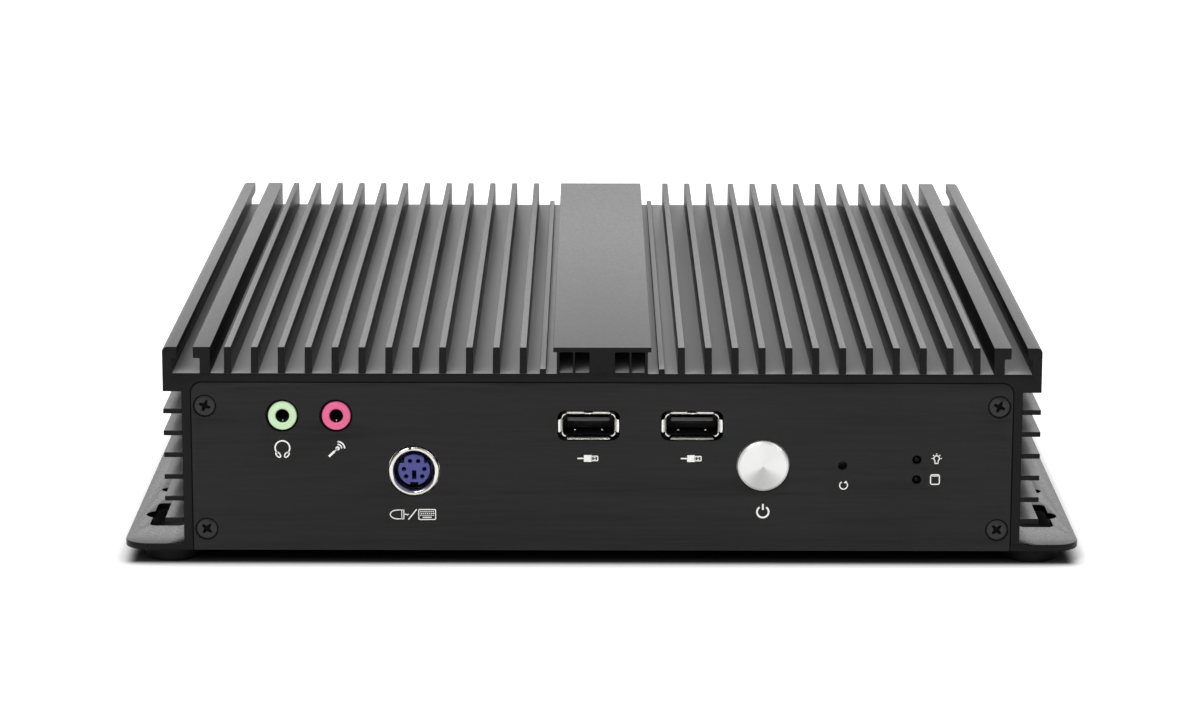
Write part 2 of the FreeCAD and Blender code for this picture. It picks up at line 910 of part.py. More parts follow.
def thermal_pad():
    """Soft pad between the processor's lid and the heat block."""
    half_x = processor_width / 2 - processor_lid_inset
    half_y = processor_depth / 2 - processor_lid_inset
    low = heat_block_low - thermal_pad_thickness
    return box(-half_x, half_x, -half_y, half_y, low, heat_block_low)


def heat_block():
    """Aluminium block, bonded to the roof, that takes up the processor's heat."""
    half_x, half_y = heat_block_width / 2, heat_block_depth / 2
    return box(-half_x, half_x, -half_y, half_y, heat_block_low, roof_in_z)


def raised_square(x, y, side, low, high):
    """Square block standing on a level."""
    return box(x - side / 2, x + side / 2, y - side / 2, y + side / 2, low, high)


def chipset():
    """Second large chip on the board: a flat package with a smaller die on it."""
    body_top = board_top + chipset_tall
    body = raised_square(chipset_x, chipset_y, chipset_side, board_top, body_top)
    die_top = body_top + chipset_die_tall
    return fuse([body, raised_square(chipset_x, chipset_y, chipset_die, body_top, die_top)])


def memory_socket():
    """Memory socket along the module's long edge, with a rest under each short edge."""
    half = memory_length / 2
    x0 = memory_x - memory_socket_depth
    body = box(
        x0,
        memory_x,
        memory_y - half - memory_arm,
        memory_y + half + memory_arm,
        board_top,
        board_top + memory_socket_tall,
    )
    seat = board_top + memory_seat_height
    groove = box(
        memory_x - memory_insertion,
        memory_x,
        memory_y - half,
        memory_y + half,
        seat,
        seat + memory_thickness,
    )
    x1 = memory_x - memory_insertion + memory_width
    rests = []
    for side in (-1, 1):
        edge = memory_y + side * half
        y0, y1 = sorted((edge - side * memory_rest, edge + side * memory_arm))
        rests.append(box(memory_x, x1, y0, y1, board_top, seat))
        y0, y1 = sorted((edge, edge + side * memory_arm))
        rests.append(box(memory_x, x1, y0, y1, seat, seat + memory_thickness))
    return fuse([cut(body, [groove])] + rests)


def memory_module():
    """Memory module lying in its socket, with four chips on top."""
    half = memory_length / 2
    x0 = memory_x - memory_insertion
    low = board_top + memory_seat_height
    high = low + memory_thickness
    board = box(x0, x0 + memory_width, memory_y - half, memory_y + half, low, high)
    chip_top = high + memory_chip_tall
    middle = memory_x + (memory_width - memory_insertion) / 2
    pitch = memory_length / memory_chip_count
    chips = [
        raised_square(middle, memory_y - half + (n + 0.5) * pitch, memory_chip, high, chip_top)
        for n in range(memory_chip_count)
    ]
    return fuse([board] + chips)


def clock_battery():
    """Sealed battery of the clock."""
    half_x, half_y = battery_width / 2, battery_depth / 2
    return box(
        battery_x - half_x,
        battery_x + half_x,
        battery_y - half_y,
        battery_y + half_y,
        board_top,
        board_top + battery_tall,
    )


def power_inductors():
    """Square inductors of the board's power supply."""
    first = power_parts_x - (inductor_count - 1) / 2 * inductor_pitch
    top = board_top + inductor_tall
    return Part.makeCompound([
        raised_square(first + n * inductor_pitch, inductor_y, inductor_side, board_top, top)
        for n in range(inductor_count)
    ])


def storage_ends():
    """Front and rear end of the storage module."""
    return storage_y - storage_length / 2, storage_y + storage_length / 2


def storage_socket():
    """Card-edge socket on the mainboard's underside."""
    y0 = storage_ends()[0]
    half = storage_width / 2
    body = box(
        storage_x - half,
        storage_x + half,
        y0 + storage_insertion - storage_socket_depth,
        y0 + storage_insertion,
        board_bottom - storage_socket_tall,
        board_bottom,
    )
    seat = board_bottom - storage_seat
    slot = box(
        storage_x - half, storage_x + half, y0, y0 + storage_insertion, seat - storage_thickness, seat
    )
    return cut(body, [slot])


def storage_module():
    """Storage module hung under the mainboard, with three chips."""
    y0, y1 = storage_ends()
    half = storage_width / 2
    high = board_bottom - storage_seat
    low = high - storage_thickness
    board = box(storage_x - half, storage_x + half, y0, y1, low, high)
    pitch = (storage_length - storage_insertion) / storage_chip_count
    chip_low = low - storage_chip_tall
    first = y0 + storage_insertion + pitch / 2
    chips = [
        raised_square(storage_x, first + n * pitch, storage_chip_side, chip_low, low)
        for n in range(storage_chip_count)
    ]
    return fuse([board] + chips)


def storage_latch():
    """Plastic hook under the mainboard that holds the storage module's free end."""
    y1 = storage_ends()[1]
    x0, x1 = storage_x - latch_width / 2, storage_x + latch_width / 2
    high = board_bottom - storage_seat
    low = high - storage_thickness
    foot_low = low - latch_hook
    stem = box(x0, x1, y1, y1 + latch_depth, foot_low, board_bottom)
    rest = box(x0, x1, y1 - latch_hook, y1, high, board_bottom)
    hook = box(x0, x1, y1 - latch_hook, y1, foot_low, low)
    return fuse([stem, rest, hook])


# ---------------------------------------------------------------- all pieces
panel_screw = countersunk_screw(panel_screw_length, panel_thickness)
plate_screw = countersunk_screw(base_screw_length, plate_thickness)

parts = {
    "heatsink_chassis": heatsink_chassis(),
    "front_panel": front_panel(),
    "rear_panel": rear_panel(),
    "base_plate": base_plate(),
    "rubber_feet": rubber_feet(),
    "front_panel_screws": Part.makeCompound([
        facing(panel_screw, x, front, z, V(0, 1, 0))
        for x, z in panel_screw_places
    ]),
    "rear_panel_screws": Part.makeCompound([
        facing(panel_screw, x, rear, z, V(0, -1, 0))
        for x, z in panel_screw_places
    ]),
    "base_plate_screws": Part.makeCompound([
        facing(plate_screw, x, y, base_z, V(0, 0, 1))
        for x, y in base_screw_places
    ]),
    "headphone_jack": audio_jack(headphone_x),
    "microphone_jack": audio_jack(microphone_x),
    "keyboard_port_shell": keyboard_port_shell(),
    "keyboard_port_insert": keyboard_port_insert(),
    "power_button_cap": power_button_cap(),
    "power_switch": push_switch(
        power_x, power_z, power_switch_side, power_switch_depth, power_travel
    ),
    "power_switch_plunger": plunger(power_x, power_z, power_plunger_face, power_switch_depth),
    "reset_switch": push_switch(
        reset_x, reset_z, reset_switch_side, reset_switch_depth, reset_travel
    ),
    "reset_switch_plunger": plunger(reset_x, reset_z, reset_plunger_face, reset_switch_depth),
    "power_led": lamp(power_led_height),
    "drive_led": lamp(drive_led_height),
    "led_spacer": lamp_spacer(),
    "control_board": control_board(),
    "control_header": control_header(),
    "mainboard": mainboard(),
    "processor": processor(),
    "thermal_pad": thermal_pad(),
    "heat_block": heat_block(),
    "chipset": chipset(),
    "memory_socket": memory_socket(),
    "memory_module": memory_module(),
    "clock_battery": clock_battery(),
    "power_inductors": power_inductors(),
    "storage_socket": storage_socket(),
    "storage_module": storage_module(),
    "storage_latch": storage_latch(),
    "dc_power_jack": dc_power_jack(),
    "dc_power_pin": dc_power_pin(),
    "video_port_shell": video_port_shell(),
    "video_port_insert": video_port_insert(),
}

for name, x in (("left", usb_left_x), ("right", usb_right_x)):
    parts["front_usb_shell_" + name] = usb_shell(x, front + usb_recess, usb_z, True)
    parts["front_usb_tongue_" + name] = usb_tongue(x, front + usb_recess, usb_z, True)

for name, x in zip(("left", "right"), rear_usb_places):
    parts["rear_usb_shell_" + name] = usb_shell(x, rear - usb_recess, usb_z, False)
    parts["rear_usb_tongue_" + name] = usb_tongue(x, rear - usb_recess, usb_z, False)

for name, x in zip(("right", "left"), lan_places):
    parts["lan_jack_shell_" + name] = lan_shell(x)
    parts["lan_jack_insert_" + name] = lan_insert(x)

os.makedirs("parts", exist_ok=True)
for name, shape in parts.items():
    shape.exportStep(os.path.join("parts", name + ".step"))
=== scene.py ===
import json
import logging
import math
from dataclasses import dataclass, field, replace
from enum import Enum
from typing import Iterable, Optional, Sequence, Union

import bmesh
import bpy
from mathutils import Matrix, Vector

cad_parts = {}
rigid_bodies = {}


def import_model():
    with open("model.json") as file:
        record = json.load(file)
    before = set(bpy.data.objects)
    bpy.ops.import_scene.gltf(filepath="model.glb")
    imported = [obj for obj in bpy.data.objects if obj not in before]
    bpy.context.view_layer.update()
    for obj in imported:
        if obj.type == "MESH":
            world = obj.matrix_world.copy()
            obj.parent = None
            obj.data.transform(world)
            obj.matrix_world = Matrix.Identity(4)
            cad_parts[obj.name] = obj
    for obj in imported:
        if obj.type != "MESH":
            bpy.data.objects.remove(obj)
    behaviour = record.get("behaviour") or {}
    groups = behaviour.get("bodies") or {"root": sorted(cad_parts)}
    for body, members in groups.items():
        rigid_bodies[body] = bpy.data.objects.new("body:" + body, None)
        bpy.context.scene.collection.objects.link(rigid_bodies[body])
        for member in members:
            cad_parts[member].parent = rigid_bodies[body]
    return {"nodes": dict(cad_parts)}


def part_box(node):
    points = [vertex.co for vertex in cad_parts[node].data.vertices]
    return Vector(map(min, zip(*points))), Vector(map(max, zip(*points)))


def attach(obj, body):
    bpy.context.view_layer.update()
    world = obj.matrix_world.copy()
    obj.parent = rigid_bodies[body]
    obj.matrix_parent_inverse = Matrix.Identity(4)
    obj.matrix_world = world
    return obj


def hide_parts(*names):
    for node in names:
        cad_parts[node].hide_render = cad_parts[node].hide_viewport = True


logging.basicConfig(level=logging.INFO, format="%(message)s")
log = logging.getLogger("computer")

MM = 0.001
Point = tuple[float, float]
Outline = list[Point]
Colour = tuple[float, float, float]
Socket = bpy.types.NodeSocket
Inputs = dict[Union[str, int], object]
COMPUTER = "computer"
POWER_BUTTON = "power_button"
SIDES = ("left", "right")


# ---------------------------------------------------------------- finishes
class Grain(Enum):
    """Texture of a surface: noise scale along X, Y and Z, in cycles per metre, and its detail."""

    BLASTED = ((1900.0, 1900.0, 1900.0), 4.0)
    BRUSHED = ((60.0, 1700.0, 1700.0), 5.0)
    DRAWN = ((900.0, 12.0, 900.0), 5.0)
    POWDER = ((1500.0, 1500.0, 1500.0), 3.0)
    MOULDED = ((700.0, 700.0, 700.0), 4.0)
    PLATED = ((160.0, 160.0, 160.0), 3.0)
    SPUN = ((1.0, 1.0, 1.0), 2.0)
    LAMINATE = ((900.0, 900.0, 900.0), 8.0)


class Graph:
    """A node tree with short ways to add and join its nodes."""

    def __init__(self, tree: bpy.types.NodeTree) -> None:
        """Keeps the tree that the nodes go into."""
        self.tree = tree

    def fill(self, node: bpy.types.Node, inputs: Inputs) -> None:
        """Sets inputs of a node, or links them.

        Args:
            node: the node.
            inputs: a plain value, or an output to link, for each input's name or number.
        """
        for key, value in inputs.items():
            if isinstance(value, Socket):
                self.tree.links.new(value, node.inputs[key])
            else:
                node.inputs[key].default_value = value

    def add(self, kind: str, inputs: Optional[Inputs] = None, **settings: object) -> bpy.types.Node:
        """Adds one node.

        Args:
            kind: the node's type.
            inputs: what its inputs get.
            settings: properties to set on it first.

        Returns:
            The new node.
        """
        node = self.tree.nodes.new(kind)
        for name, value in settings.items():
            setattr(node, name, value)
        self.fill(node, inputs or {})
        return node

    def place(self) -> Socket:
        """Object coordinates."""
        return self.add("ShaderNodeTexCoord").outputs["Object"]

    def axis(self, source: Socket, letter: str) -> Socket:
        """One coordinate of a vector."""
        return self.add("ShaderNodeSeparateXYZ", {"Vector": source}).outputs[letter]

    def math(self, operation: str, *values: object) -> Socket:
        """Result of a sum on numbers."""
        return self.add("ShaderNodeMath", dict(enumerate(values)), operation=operation).outputs[0]

    def vector(self, operation: str, *values: object) -> bpy.types.NodeOutputs:
        """Outputs of a sum on vectors."""
        inputs = dict(enumerate(values))
        return self.add("ShaderNodeVectorMath", inputs, operation=operation).outputs

    def scaled(self, source: Socket, share: Socket) -> Socket:
        """A colour times a number."""
        inputs = {0: source, "Scale": share}
        return self.add("ShaderNodeVectorMath", inputs, operation="SCALE").outputs["Vector"]

    def mapped(
        self, source: Socket, ends: Sequence[float], values: Sequence[object], soft: bool = False
    ) -> Socket:
        """Maps a value from one range to another.

        Args:
            source: the value.
            ends: where the change starts and ends.
            values: the results at both ends and beyond them.
            soft: eases the change in and out.

        Returns:
            The mapped value.
        """
        inputs = dict(enumerate((source, *ends, *values)))
        easing = "SMOOTHSTEP" if soft else "LINEAR"
        return self.add("ShaderNodeMapRange", inputs, interpolation_type=easing).outputs["Result"]


NOISE_ENDS = (0.25, 0.75)                   # where most of a noise lies
VALLEY_START = (44 * MM, 47 * MM)           # heights where the walls end and the valleys start
VALLEY_END = (50 * MM, 53 * MM)             # heights where the valleys end and the crests start
DEPTH_ENDS = (-115 * MM, 115 * MM)
UPWARD = (0.3, 0.9)                         # a face's upward share where it starts to count
PAINTED_SHADE_ENDS = (-1.0, -0.3)                  # height on the unit circle over which the painted shade at a disc's bottom fades out


@dataclass(frozen=True)
class Finish:
    """One surface finish of the object.

    The pattern changes the colour by its share, the roughness by its swing and the
    surface's height by its depth in millimetres. Faces that look up may have a
    specular level and a sheen of their own, which fade towards the rear. The wedge share
    paints shade: the colour grows darker towards the bottom of a turned disc.
    """

    name: str
    colour: Colour
    roughness: float
    metallic: float = 0.0
    grain: Grain = Grain.MOULDED
    variation: float = 0.12
    swing: float = 0.06
    depth: float = 0.01
    specular: float = 0.5
    centre: Optional[Vector] = None
    pitch: float = 0.16
    anisotropic: float = 0.0
    painted_shade_wedge: float = 0.0
    top_specular: float = 0.0
    top_sheen: float = 0.0
    valley_sheen: float = 0.0
    sheen_roughness: float = 0.5
    fade: float = 0.0

    def material(self) -> bpy.types.Material:
        """Builds the finish's material, once.

        Returns:
            The material.
        """
        title = self.name + "_finish"
        found = bpy.data.materials.get(title)
        if found:
            return found
        material = bpy.data.materials.new(title)
        material.use_nodes = True
        graph = Graph(material.node_tree)
        shader = material.node_tree.nodes["Principled BSDF"]
        fine = self.pattern(graph)
        bump = {"Strength": 1.0, "Distance": self.depth * MM, "Height": fine}
        rough = (self.roughness - self.swing, self.roughness + self.swing)
        graph.fill(shader, {
            "Metallic": self.metallic,
            "Specular IOR Level": self.specular,
            "Base Color": self.tinted(graph, fine),
            "Roughness": graph.mapped(fine, NOISE_ENDS, rough),
            "Normal": graph.add("ShaderNodeBump", bump).outputs["Normal"],
        })
        if self.top_specular:
            level = self.on_top(graph, self.specular, self.top_specular, self.top_specular)
            graph.fill(shader, {"Specular IOR Level": level})
        if self.top_sheen:
            weight = self.on_top(graph, 0.0, self.valley_sheen, self.top_sheen)
            graph.fill(shader, {"Sheen Weight": weight, "Sheen Roughness": self.sheen_roughness})
        if self.centre is not None:
            outward = self.outward(graph)
            graph.fill(shader, {"Anisotropic": self.anisotropic, "Tangent": outward})
        return material

    def on_top(self, graph: Graph, side: float, valley: float, crest: float) -> Socket:
        """Sets a value apart on the faces that look up.

        Args:
            graph: the material's tree.
            side: the value on all faces that do not look up.
            valley: the value on upward faces between the upper fins.
            crest: the value on upward faces at the very top and down on the walls.

        Returns:
            The value, which fades towards the rear by the finish's fade.
        """
        coordinates = graph.add("ShaderNodeTexCoord").outputs
        height = graph.axis(coordinates["Object"], "Z")
        low = graph.mapped(height, VALLEY_START, (crest, valley))
        level = graph.mapped(height, VALLEY_END, (low, crest))
        back = graph.axis(coordinates["Object"], "Y")
        along = graph.mapped(back, DEPTH_ENDS, (1 + self.fade, 1 - self.fade))
        both = graph.math("MULTIPLY", level, along)
        return graph.mapped(graph.axis(coordinates["Normal"], "Z"), UPWARD, (side, both), True)

    def outward(self, graph: Graph) -> Socket:
        """Finds the way out from the middle, across the turning marks.

        Args:
            graph: the material's tree.

        Returns:
            The way, a unit vector in the XZ plane.
        """
        away = graph.vector("SUBTRACT", graph.place(), self.centre)["Vector"]
        flat = graph.vector("MULTIPLY", away, (1.0, 0.0, 1.0))["Vector"]
        return graph.vector("NORMALIZE", flat)["Vector"]

    def pattern(self, graph: Graph) -> Socket:
        """Makes the fine pattern of the grain.

        Args:
            graph: the material's tree.

        Returns:
            The pattern, about 0 to 1.
        """
        scale, detail = self.grain.value
        mapping = graph.add("ShaderNodeMapping", {"Scale": scale, "Vector": graph.place()})
        if self.centre is not None:
            graph.fill(mapping, {"Location": -self.centre})
        inputs = {"Vector": mapping.outputs["Vector"], "Scale": 1.0, "Detail": detail}
        if self.grain is Grain.SPUN:
            inputs.update({"Scale": math.tau / (20 * self.pitch * MM), "Distortion": 0.6})
            ways = {"wave_type": "RINGS", "rings_direction": "Y"}
            return graph.add("ShaderNodeTexWave", inputs, **ways).outputs["Fac"]
        return graph.add("ShaderNodeTexNoise", inputs).outputs["Fac"]

    def tinted(self, graph: Graph, fine: Socket) -> Socket:
        """Makes the colour darker and lighter with the grain and with a broad cloud.

        Args:
            graph: the material's tree.
            fine: the pattern of the grain.

        Returns:
            The base colour, darker towards the bottom of a turned disc where the finish paints
            shade there.
        """
        cloud = graph.add(
            "ShaderNodeTexNoise", {"Vector": graph.place(), "Scale": 24.0, "Detail": 3.0}
        )
        both = graph.math(
            "MULTIPLY_ADD", cloud.outputs["Fac"], 0.35, graph.math("MULTIPLY", fine, 0.65)
        )
        dark = [channel * (1 - self.variation) for channel in self.colour]
        light = [min(channel * (1 + self.variation), 1.0) for channel in self.colour]
        share = graph.mapped(both, NOISE_ENDS, (0.0, 1.0))
        mix = {"A": (*dark, 1.0), "B": (*light, 1.0), "Factor": share}
        colour = graph.add("ShaderNodeMix", mix, data_type="RGBA").outputs["Result"]
        if not self.painted_shade_wedge:
            return colour
        # painted shade: the colour grows darker towards the bottom of the turned disc
        height = graph.axis(self.outward(graph), "Z")
        return graph.scaled(colour, graph.mapped(height, PAINTED_SHADE_ENDS, (1 - self.painted_shade_wedge, 1.0), True))


EXTRUSION = Finish(
    "anodised_extrusion", (0.0042, 0.0042, 0.0041), 0.34, 0.0, Grain.BLASTED, 0.4, 0.07, 0.035,
    0.16, top_specular=0.28, top_sheen=0.2, valley_sheen=1.0, fade=0.36,
)
PANEL = Finish(
    "anodised_panel", (0.0125, 0.0125, 0.0125), 0.42, 0.0, Grain.BRUSHED, 0.35, 0.1, 0.012, 0.2
)
PLATE = Finish(
    "coated_plate", (0.0035, 0.0035, 0.0034), 0.3, 0.0, Grain.POWDER, 0.4, 0.08, 0.025, 0.16,
    top_specular=0.45,
)
SCREW = Finish("black_screw", (0.017, 0.017, 0.017), 0.3, 0.0, Grain.PLATED, 0.3, 0.08, 0.004, 0.35)
TIN = Finish("tinned_steel", (0.96, 0.94, 0.89), 0.3, 0.35, Grain.PLATED, 0.04, 0.06, 0.002)
NICKEL = Finish("nickel_shield", (0.9, 0.87, 0.81), 0.14, 1.0, Grain.PLATED, 0.05, 0.06, 0.002)
GOLD = Finish("gilt_contact", (0.9, 0.68, 0.28), 0.2, 1.0, Grain.PLATED, 0.06, 0.05, 0.002)
RUBBER = Finish(
    "black_rubber", (0.005, 0.005, 0.005), 0.7, 0.0, Grain.MOULDED, 0.3, 0.08, 0.03, 0.2
)
BLACK = Finish("black_plastic", (0.012, 0.012, 0.012), 0.45, 0.0, Grain.MOULDED, 0.3, 0.08, 0.01)
TONGUE = Finish("tongue_plastic", (0.05, 0.05, 0.052), 0.4, 0.0, Grain.MOULDED, 0.2, 0.08, 0.01)
# near-black finish of sheets put in gaps, recesses and bores: painted shade
PAINTED_SHADE_BLACK = Finish("painted_shade_black", (0.003, 0.003, 0.003), 0.7, 0.0, Grain.MOULDED, 0.3, 0.08, 0.01, 0.1)
MINT = Finish("mint_plastic", (0.54, 0.74, 0.47), 0.4, 0.0, Grain.MOULDED, 0.06, 0.05, 0.01)
PINK = Finish("pink_plastic", (0.73, 0.115, 0.27), 0.4, 0.0, Grain.MOULDED, 0.06, 0.05, 0.01)
VIOLET = Finish("violet_plastic", (0.055, 0.058, 0.25), 0.4, 0.0, Grain.MOULDED, 0.1, 0.05, 0.01)
# near-black lamp lenses: painted shade of the holes they sit behind
LAMP = Finish("clear_lamp", (0.004, 0.004, 0.004), 0.3, 0.0, Grain.MOULDED, 0.2, 0.03, 0.002, 0.1)
WINDOW = Finish("lamp_window", (0.7, 0.66, 0.5), 0.25, 0.0, Grain.MOULDED, 0.05, 0.05, 0.004)
BOARD = Finish("circuit_board", (0.012, 0.09, 0.035), 0.35, 0.0, Grain.LAMINATE, 0.35, 0.08, 0.02)
CHIP = Finish("chip_plastic", (0.02, 0.02, 0.022), 0.5, 0.0, Grain.MOULDED, 0.3, 0.08, 0.01)
MILLED = Finish("plain_aluminium", (0.72, 0.73, 0.74), 0.35, 1.0, Grain.DRAWN, 0.08, 0.08, 0.006)
PAD = Finish("thermal_pad", (0.3, 0.36, 0.4), 0.75, 0.0, Grain.MOULDED, 0.15, 0.05, 0.03)
SLEEVE = Finish("yellow_wrap", (0.62, 0.43, 0.04), 0.35, 0.0, Grain.PLATED, 0.1, 0.08, 0.05)
INK = Finish("white_ink", (0.8, 0.8, 0.77), 0.6, 0.0, Grain.POWDER, 0.06, 0.05, 0.003, 0.3)


# ---------------------------------------------------------------- outlines
def arc(x: float, y: float, radius: float, start: float, end: float, steps: int) -> Outline:
    """Points on an arc, both ends included, angles in degrees."""
    turns = [math.radians(start + (end - start) * n / steps) for n in range(steps + 1)]
    return [(x + radius * math.cos(turn), y + radius * math.sin(turn)) for turn in turns]


def circle(x: float, y: float, radius: float, steps: int = 48) -> Outline:
    """Points of a closed circle."""
    return arc(x, y, radius, 0, 360, steps)[:-1]


def rounded_rectangle(
    x: float, y: float, width: float, tall: float, radius: float, steps: int = 6
) -> Outline:
    """Rectangle with round corners, counter-clockwise.

    Args:
        x: its middle across.
        y: its middle up.
        width: its size across.
        tall: its size up.
        radius: radius of its corners.
        steps: straight pieces in each corner.

    Returns:
        Its points.
    """
    dx, dy = width / 2 - radius, tall / 2 - radius
    centres = [(x + dx, y + dy), (x - dx, y + dy), (x - dx, y - dy), (x + dx, y - dy)]
    points: Outline = []
    for quarter, (cx, cy) in enumerate(centres):
        points += arc(cx, cy, radius, 90 * quarter, 90 * quarter + 90, steps)
    return points


def softened(outline: Outline, radius: float, steps: int = 2) -> Outline:
    """Rounds every corner of a closed outline.

    Args:
        outline: its corners.
        radius: the distance from a corner to where its rounding starts, at most.
        steps: pieces that each corner is rounded with.

    Returns:
        The outline with a short curve in the place of each corner.
    """
    points: Outline = []
    for index, corner in enumerate(outline):
        here = Vector(corner)
        before = Vector(outline[index - 1]) - here
        after = Vector(outline[(index + 1) % len(outline)]) - here
        reach = min(radius, before.length * 0.45, after.length * 0.45)
        start = here + before.normalized() * reach
        end = here + after.normalized() * reach
        for step in range(steps + 1):
            t = step / steps
            spot = start * (1 - t) ** 2 + here * 2 * t * (1 - t) + end * t**2
            points.append((spot.x, spot.y))
    return points


def turned_over(outline: Outline) -> Outline:
    """The outline mirrored in its first coordinate, in reverse order."""
    return [(-x, y) for x, y in reversed(outline)]


# ---------------------------------------------------------------- meshes
UPRIGHT = Matrix(((1, 0, 0, 0), (0, 0, 1, 0), (0, 1, 0, 0), (0, 0, 0, 1)))


def shown(name: str, data: bpy.types.ID) -> bpy.types.Object:
    """Puts an object with some data into the scene.

    Args:
        name: the object's name.
        data: its mesh, curve, lamp or camera.

    Returns:
        The object.
    """
    item = bpy.data.objects.new(name, data)
    bpy.context.scene.collection.objects.link(item)
    return item


def smooth(mesh: bpy.types.Mesh, angle: float = 32.0) -> bpy.types.Mesh:
    """Shades a mesh smooth.

    Args:
        mesh: the mesh.
        angle: edges over this angle, in degrees, stay sharp.

    Returns:
        The same mesh.
    """
    mesh.shade_smooth()
    mesh.set_sharp_from_angle(angle=math.radians(angle))
    return mesh


def from_bmesh(bm: bmesh.types.BMesh, name: str) -> bpy.types.Mesh:
    """Turns a bmesh into a mesh with its faces pointing outwards.

    Args:
        bm: the bmesh, which is freed.
        name: the mesh's name.

    Returns:
        The mesh.
    """
    bmesh.ops.remove_doubles(bm, verts=bm.verts, dist=1e-7)
    bmesh.ops.recalc_face_normals(bm, faces=bm.faces)
    return finished(bm, name)


def finished(bm: bmesh.types.BMesh, name: str) -> bpy.types.Mesh:
    """Turns a bmesh into a smooth mesh as it is.

    Args:
        bm: the bmesh, which is freed.
        name: the mesh's name.

    Returns:
        The mesh.
    """
    mesh = bpy.data.meshes.new(name)
    bm.to_mesh(mesh)
    bm.free()
    return smooth(mesh)


def evaluated(holder: bpy.types.Object) -> bpy.types.Mesh:
    """Takes the plain mesh of an object with its modifiers.

    Args:
        holder: the object, which is removed.

    Returns:
        The mesh.
    """
    depsgraph = bpy.context.evaluated_depsgraph_get()
    depsgraph.update()
    mesh = bpy.data.meshes.new_from_object(holder.evaluated_get(depsgraph))
    bpy.data.objects.remove(holder)
    return mesh


def plate(outlines: Iterable[Outline], y0: float, y1: float, bevel: float) -> bpy.types.Mesh:
    """Plate in the XZ plane, in millimetres, with holes and finely rounded rims.

    Args:
        outlines: the outer outline and the holes, as (x, z).
        y0: where it starts on Y.
        y1: where it ends on Y.
        bevel: radius of its rims.

    Returns:
        The mesh, in metres.
    """
    curve = bpy.data.curves.new("plate", "CURVE")
    curve.dimensions = "2D"
    curve.fill_mode = "BOTH"
    curve.extrude = (y1 - y0) / 2 - bevel
    curve.bevel_depth = bevel
    curve.bevel_resolution = 2 if bevel > 0.08 else 1
    curve.offset = -bevel
    for outline in outlines:
        spline = curve.splines.new("POLY")
        spline.points.add(len(outline) - 1)
        for point, (x, z) in zip(spline.points, outline):
            point.co = (x, z, 0.0, 1.0)
        spline.use_cyclic_u = True
    mesh = evaluated(shown("plate", curve))
    bpy.data.curves.remove(curve)
    bm = bmesh.new()
    bm.from_mesh(mesh)
    middle = Matrix.Translation((0, (y0 + y1) / 2, 0))
    bm.transform(Matrix.Scale(MM, 4) @ middle @ UPRIGHT)
    bpy.data.meshes.remove(mesh)
    return from_bmesh(bm, "plate")


def lathe(
    profile: Sequence[Point], x: float = 0.0, z: float = 0.0, steps: int = 64,
    closed: bool = True, start: float = 0.0,
) -> bpy.types.Mesh:
    """Turned piece about a line along Y, in millimetres.

    Args:
        profile: (y, radius) from one end to the other; a radius of 0 is a pole.
        x: the line's place.
        z: the line's height.
        steps: sides of the round.
        closed: joins the last point to the first.
        start: where the profile's y is measured from.

    Returns:
        The mesh, in metres.
    """
    bm = bmesh.new()
    rings: list[list[bmesh.types.BMVert]] = []
    for along, radius in profile:
        around = circle(0, 0, radius, steps) if radius else [(0.0, 0.0)]
        y = start + along
        rings.append([bm.verts.new(Vector((x + dx, y, z + dz)) * MM) for dx, dz in around])
    pairs = list(zip(rings, rings[1:]))
    if closed:
        pairs.append((rings[-1], rings[0]))
    for first, second in pairs:
        for n in range(steps):
            m = (n + 1) % steps
            corners = [first[n % len(first)], first[m % len(first)]]
            corners += [second[m % len(second)], second[n % len(second)]]
            kept = list(dict.fromkeys(corners))
            if len(kept) > 2:
                bm.faces.new(kept)
    return from_bmesh(bm, "lathe")


def brick(low: Sequence[float], high: Sequence[float], bevel: float = 0.1) -> bpy.types.Mesh:
    """Block between two corners, in millimetres, with bevelled edges.

    Args:
        low: its lowest corner.
        high: its highest corner.
        bevel: width of the bevels, or 0.

    Returns:
        The mesh, in metres.
    """
    bm = bmesh.new()
    bmesh.ops.create_cube(bm, size=1.0)
    bmesh.ops.scale(bm, vec=Vector(high) - Vector(low), verts=bm.verts)
    bmesh.ops.translate(bm, vec=(Vector(high) + Vector(low)) / 2, verts=bm.verts)
    if bevel:
        bmesh.ops.bevel(
            bm, geom=bm.edges[:], offset=bevel, offset_type="OFFSET", segments=2, profile=0.5,
            affect="EDGES",
        )
    bm.transform(Matrix.Scale(MM, 4))
    return from_bmesh(bm, "brick")


def joined(meshes: Iterable[bpy.types.Mesh]) -> bpy.types.Mesh:
    """Makes one mesh out of several.

    Args:
        meshes: the several, which are removed.

    Returns:
        The one mesh.
    """
    bm = bmesh.new()
    for mesh in meshes:
        bm.from_mesh(mesh)
        bpy.data.meshes.remove(mesh)
    return finished(bm, "joined")


def levels(node: str) -> tuple[Vector, Vector]:
    """Lowest and highest corner of a CAD node, in millimetres."""
    low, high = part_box(node)
    return Vector(low) / MM, Vector(high) / MM


def middle_of(node: str) -> Vector:
    """Middle of a CAD node's box, in millimetres."""
    low, high = levels(node)
    return (low + high) / 2


def face_of(node: str, grow: float, radius: float, steps: int = 6) -> Outline:
    """Outline of a CAD node's box in the XZ plane.

    Args:
        node: the node.
        grow: how far the outline stands out from the box.
        radius: radius of its corners.
        steps: straight pieces in each corner.

    Returns:
        Its points.
    """
    low, high = levels(node)
    x, z = (low.x + high.x) / 2, (low.z + high.z) / 2
    width, tall = high.x - low.x + 2 * grow, high.z - low.z + 2 * grow
    return rounded_rectangle(x, z, width, tall, radius, steps)


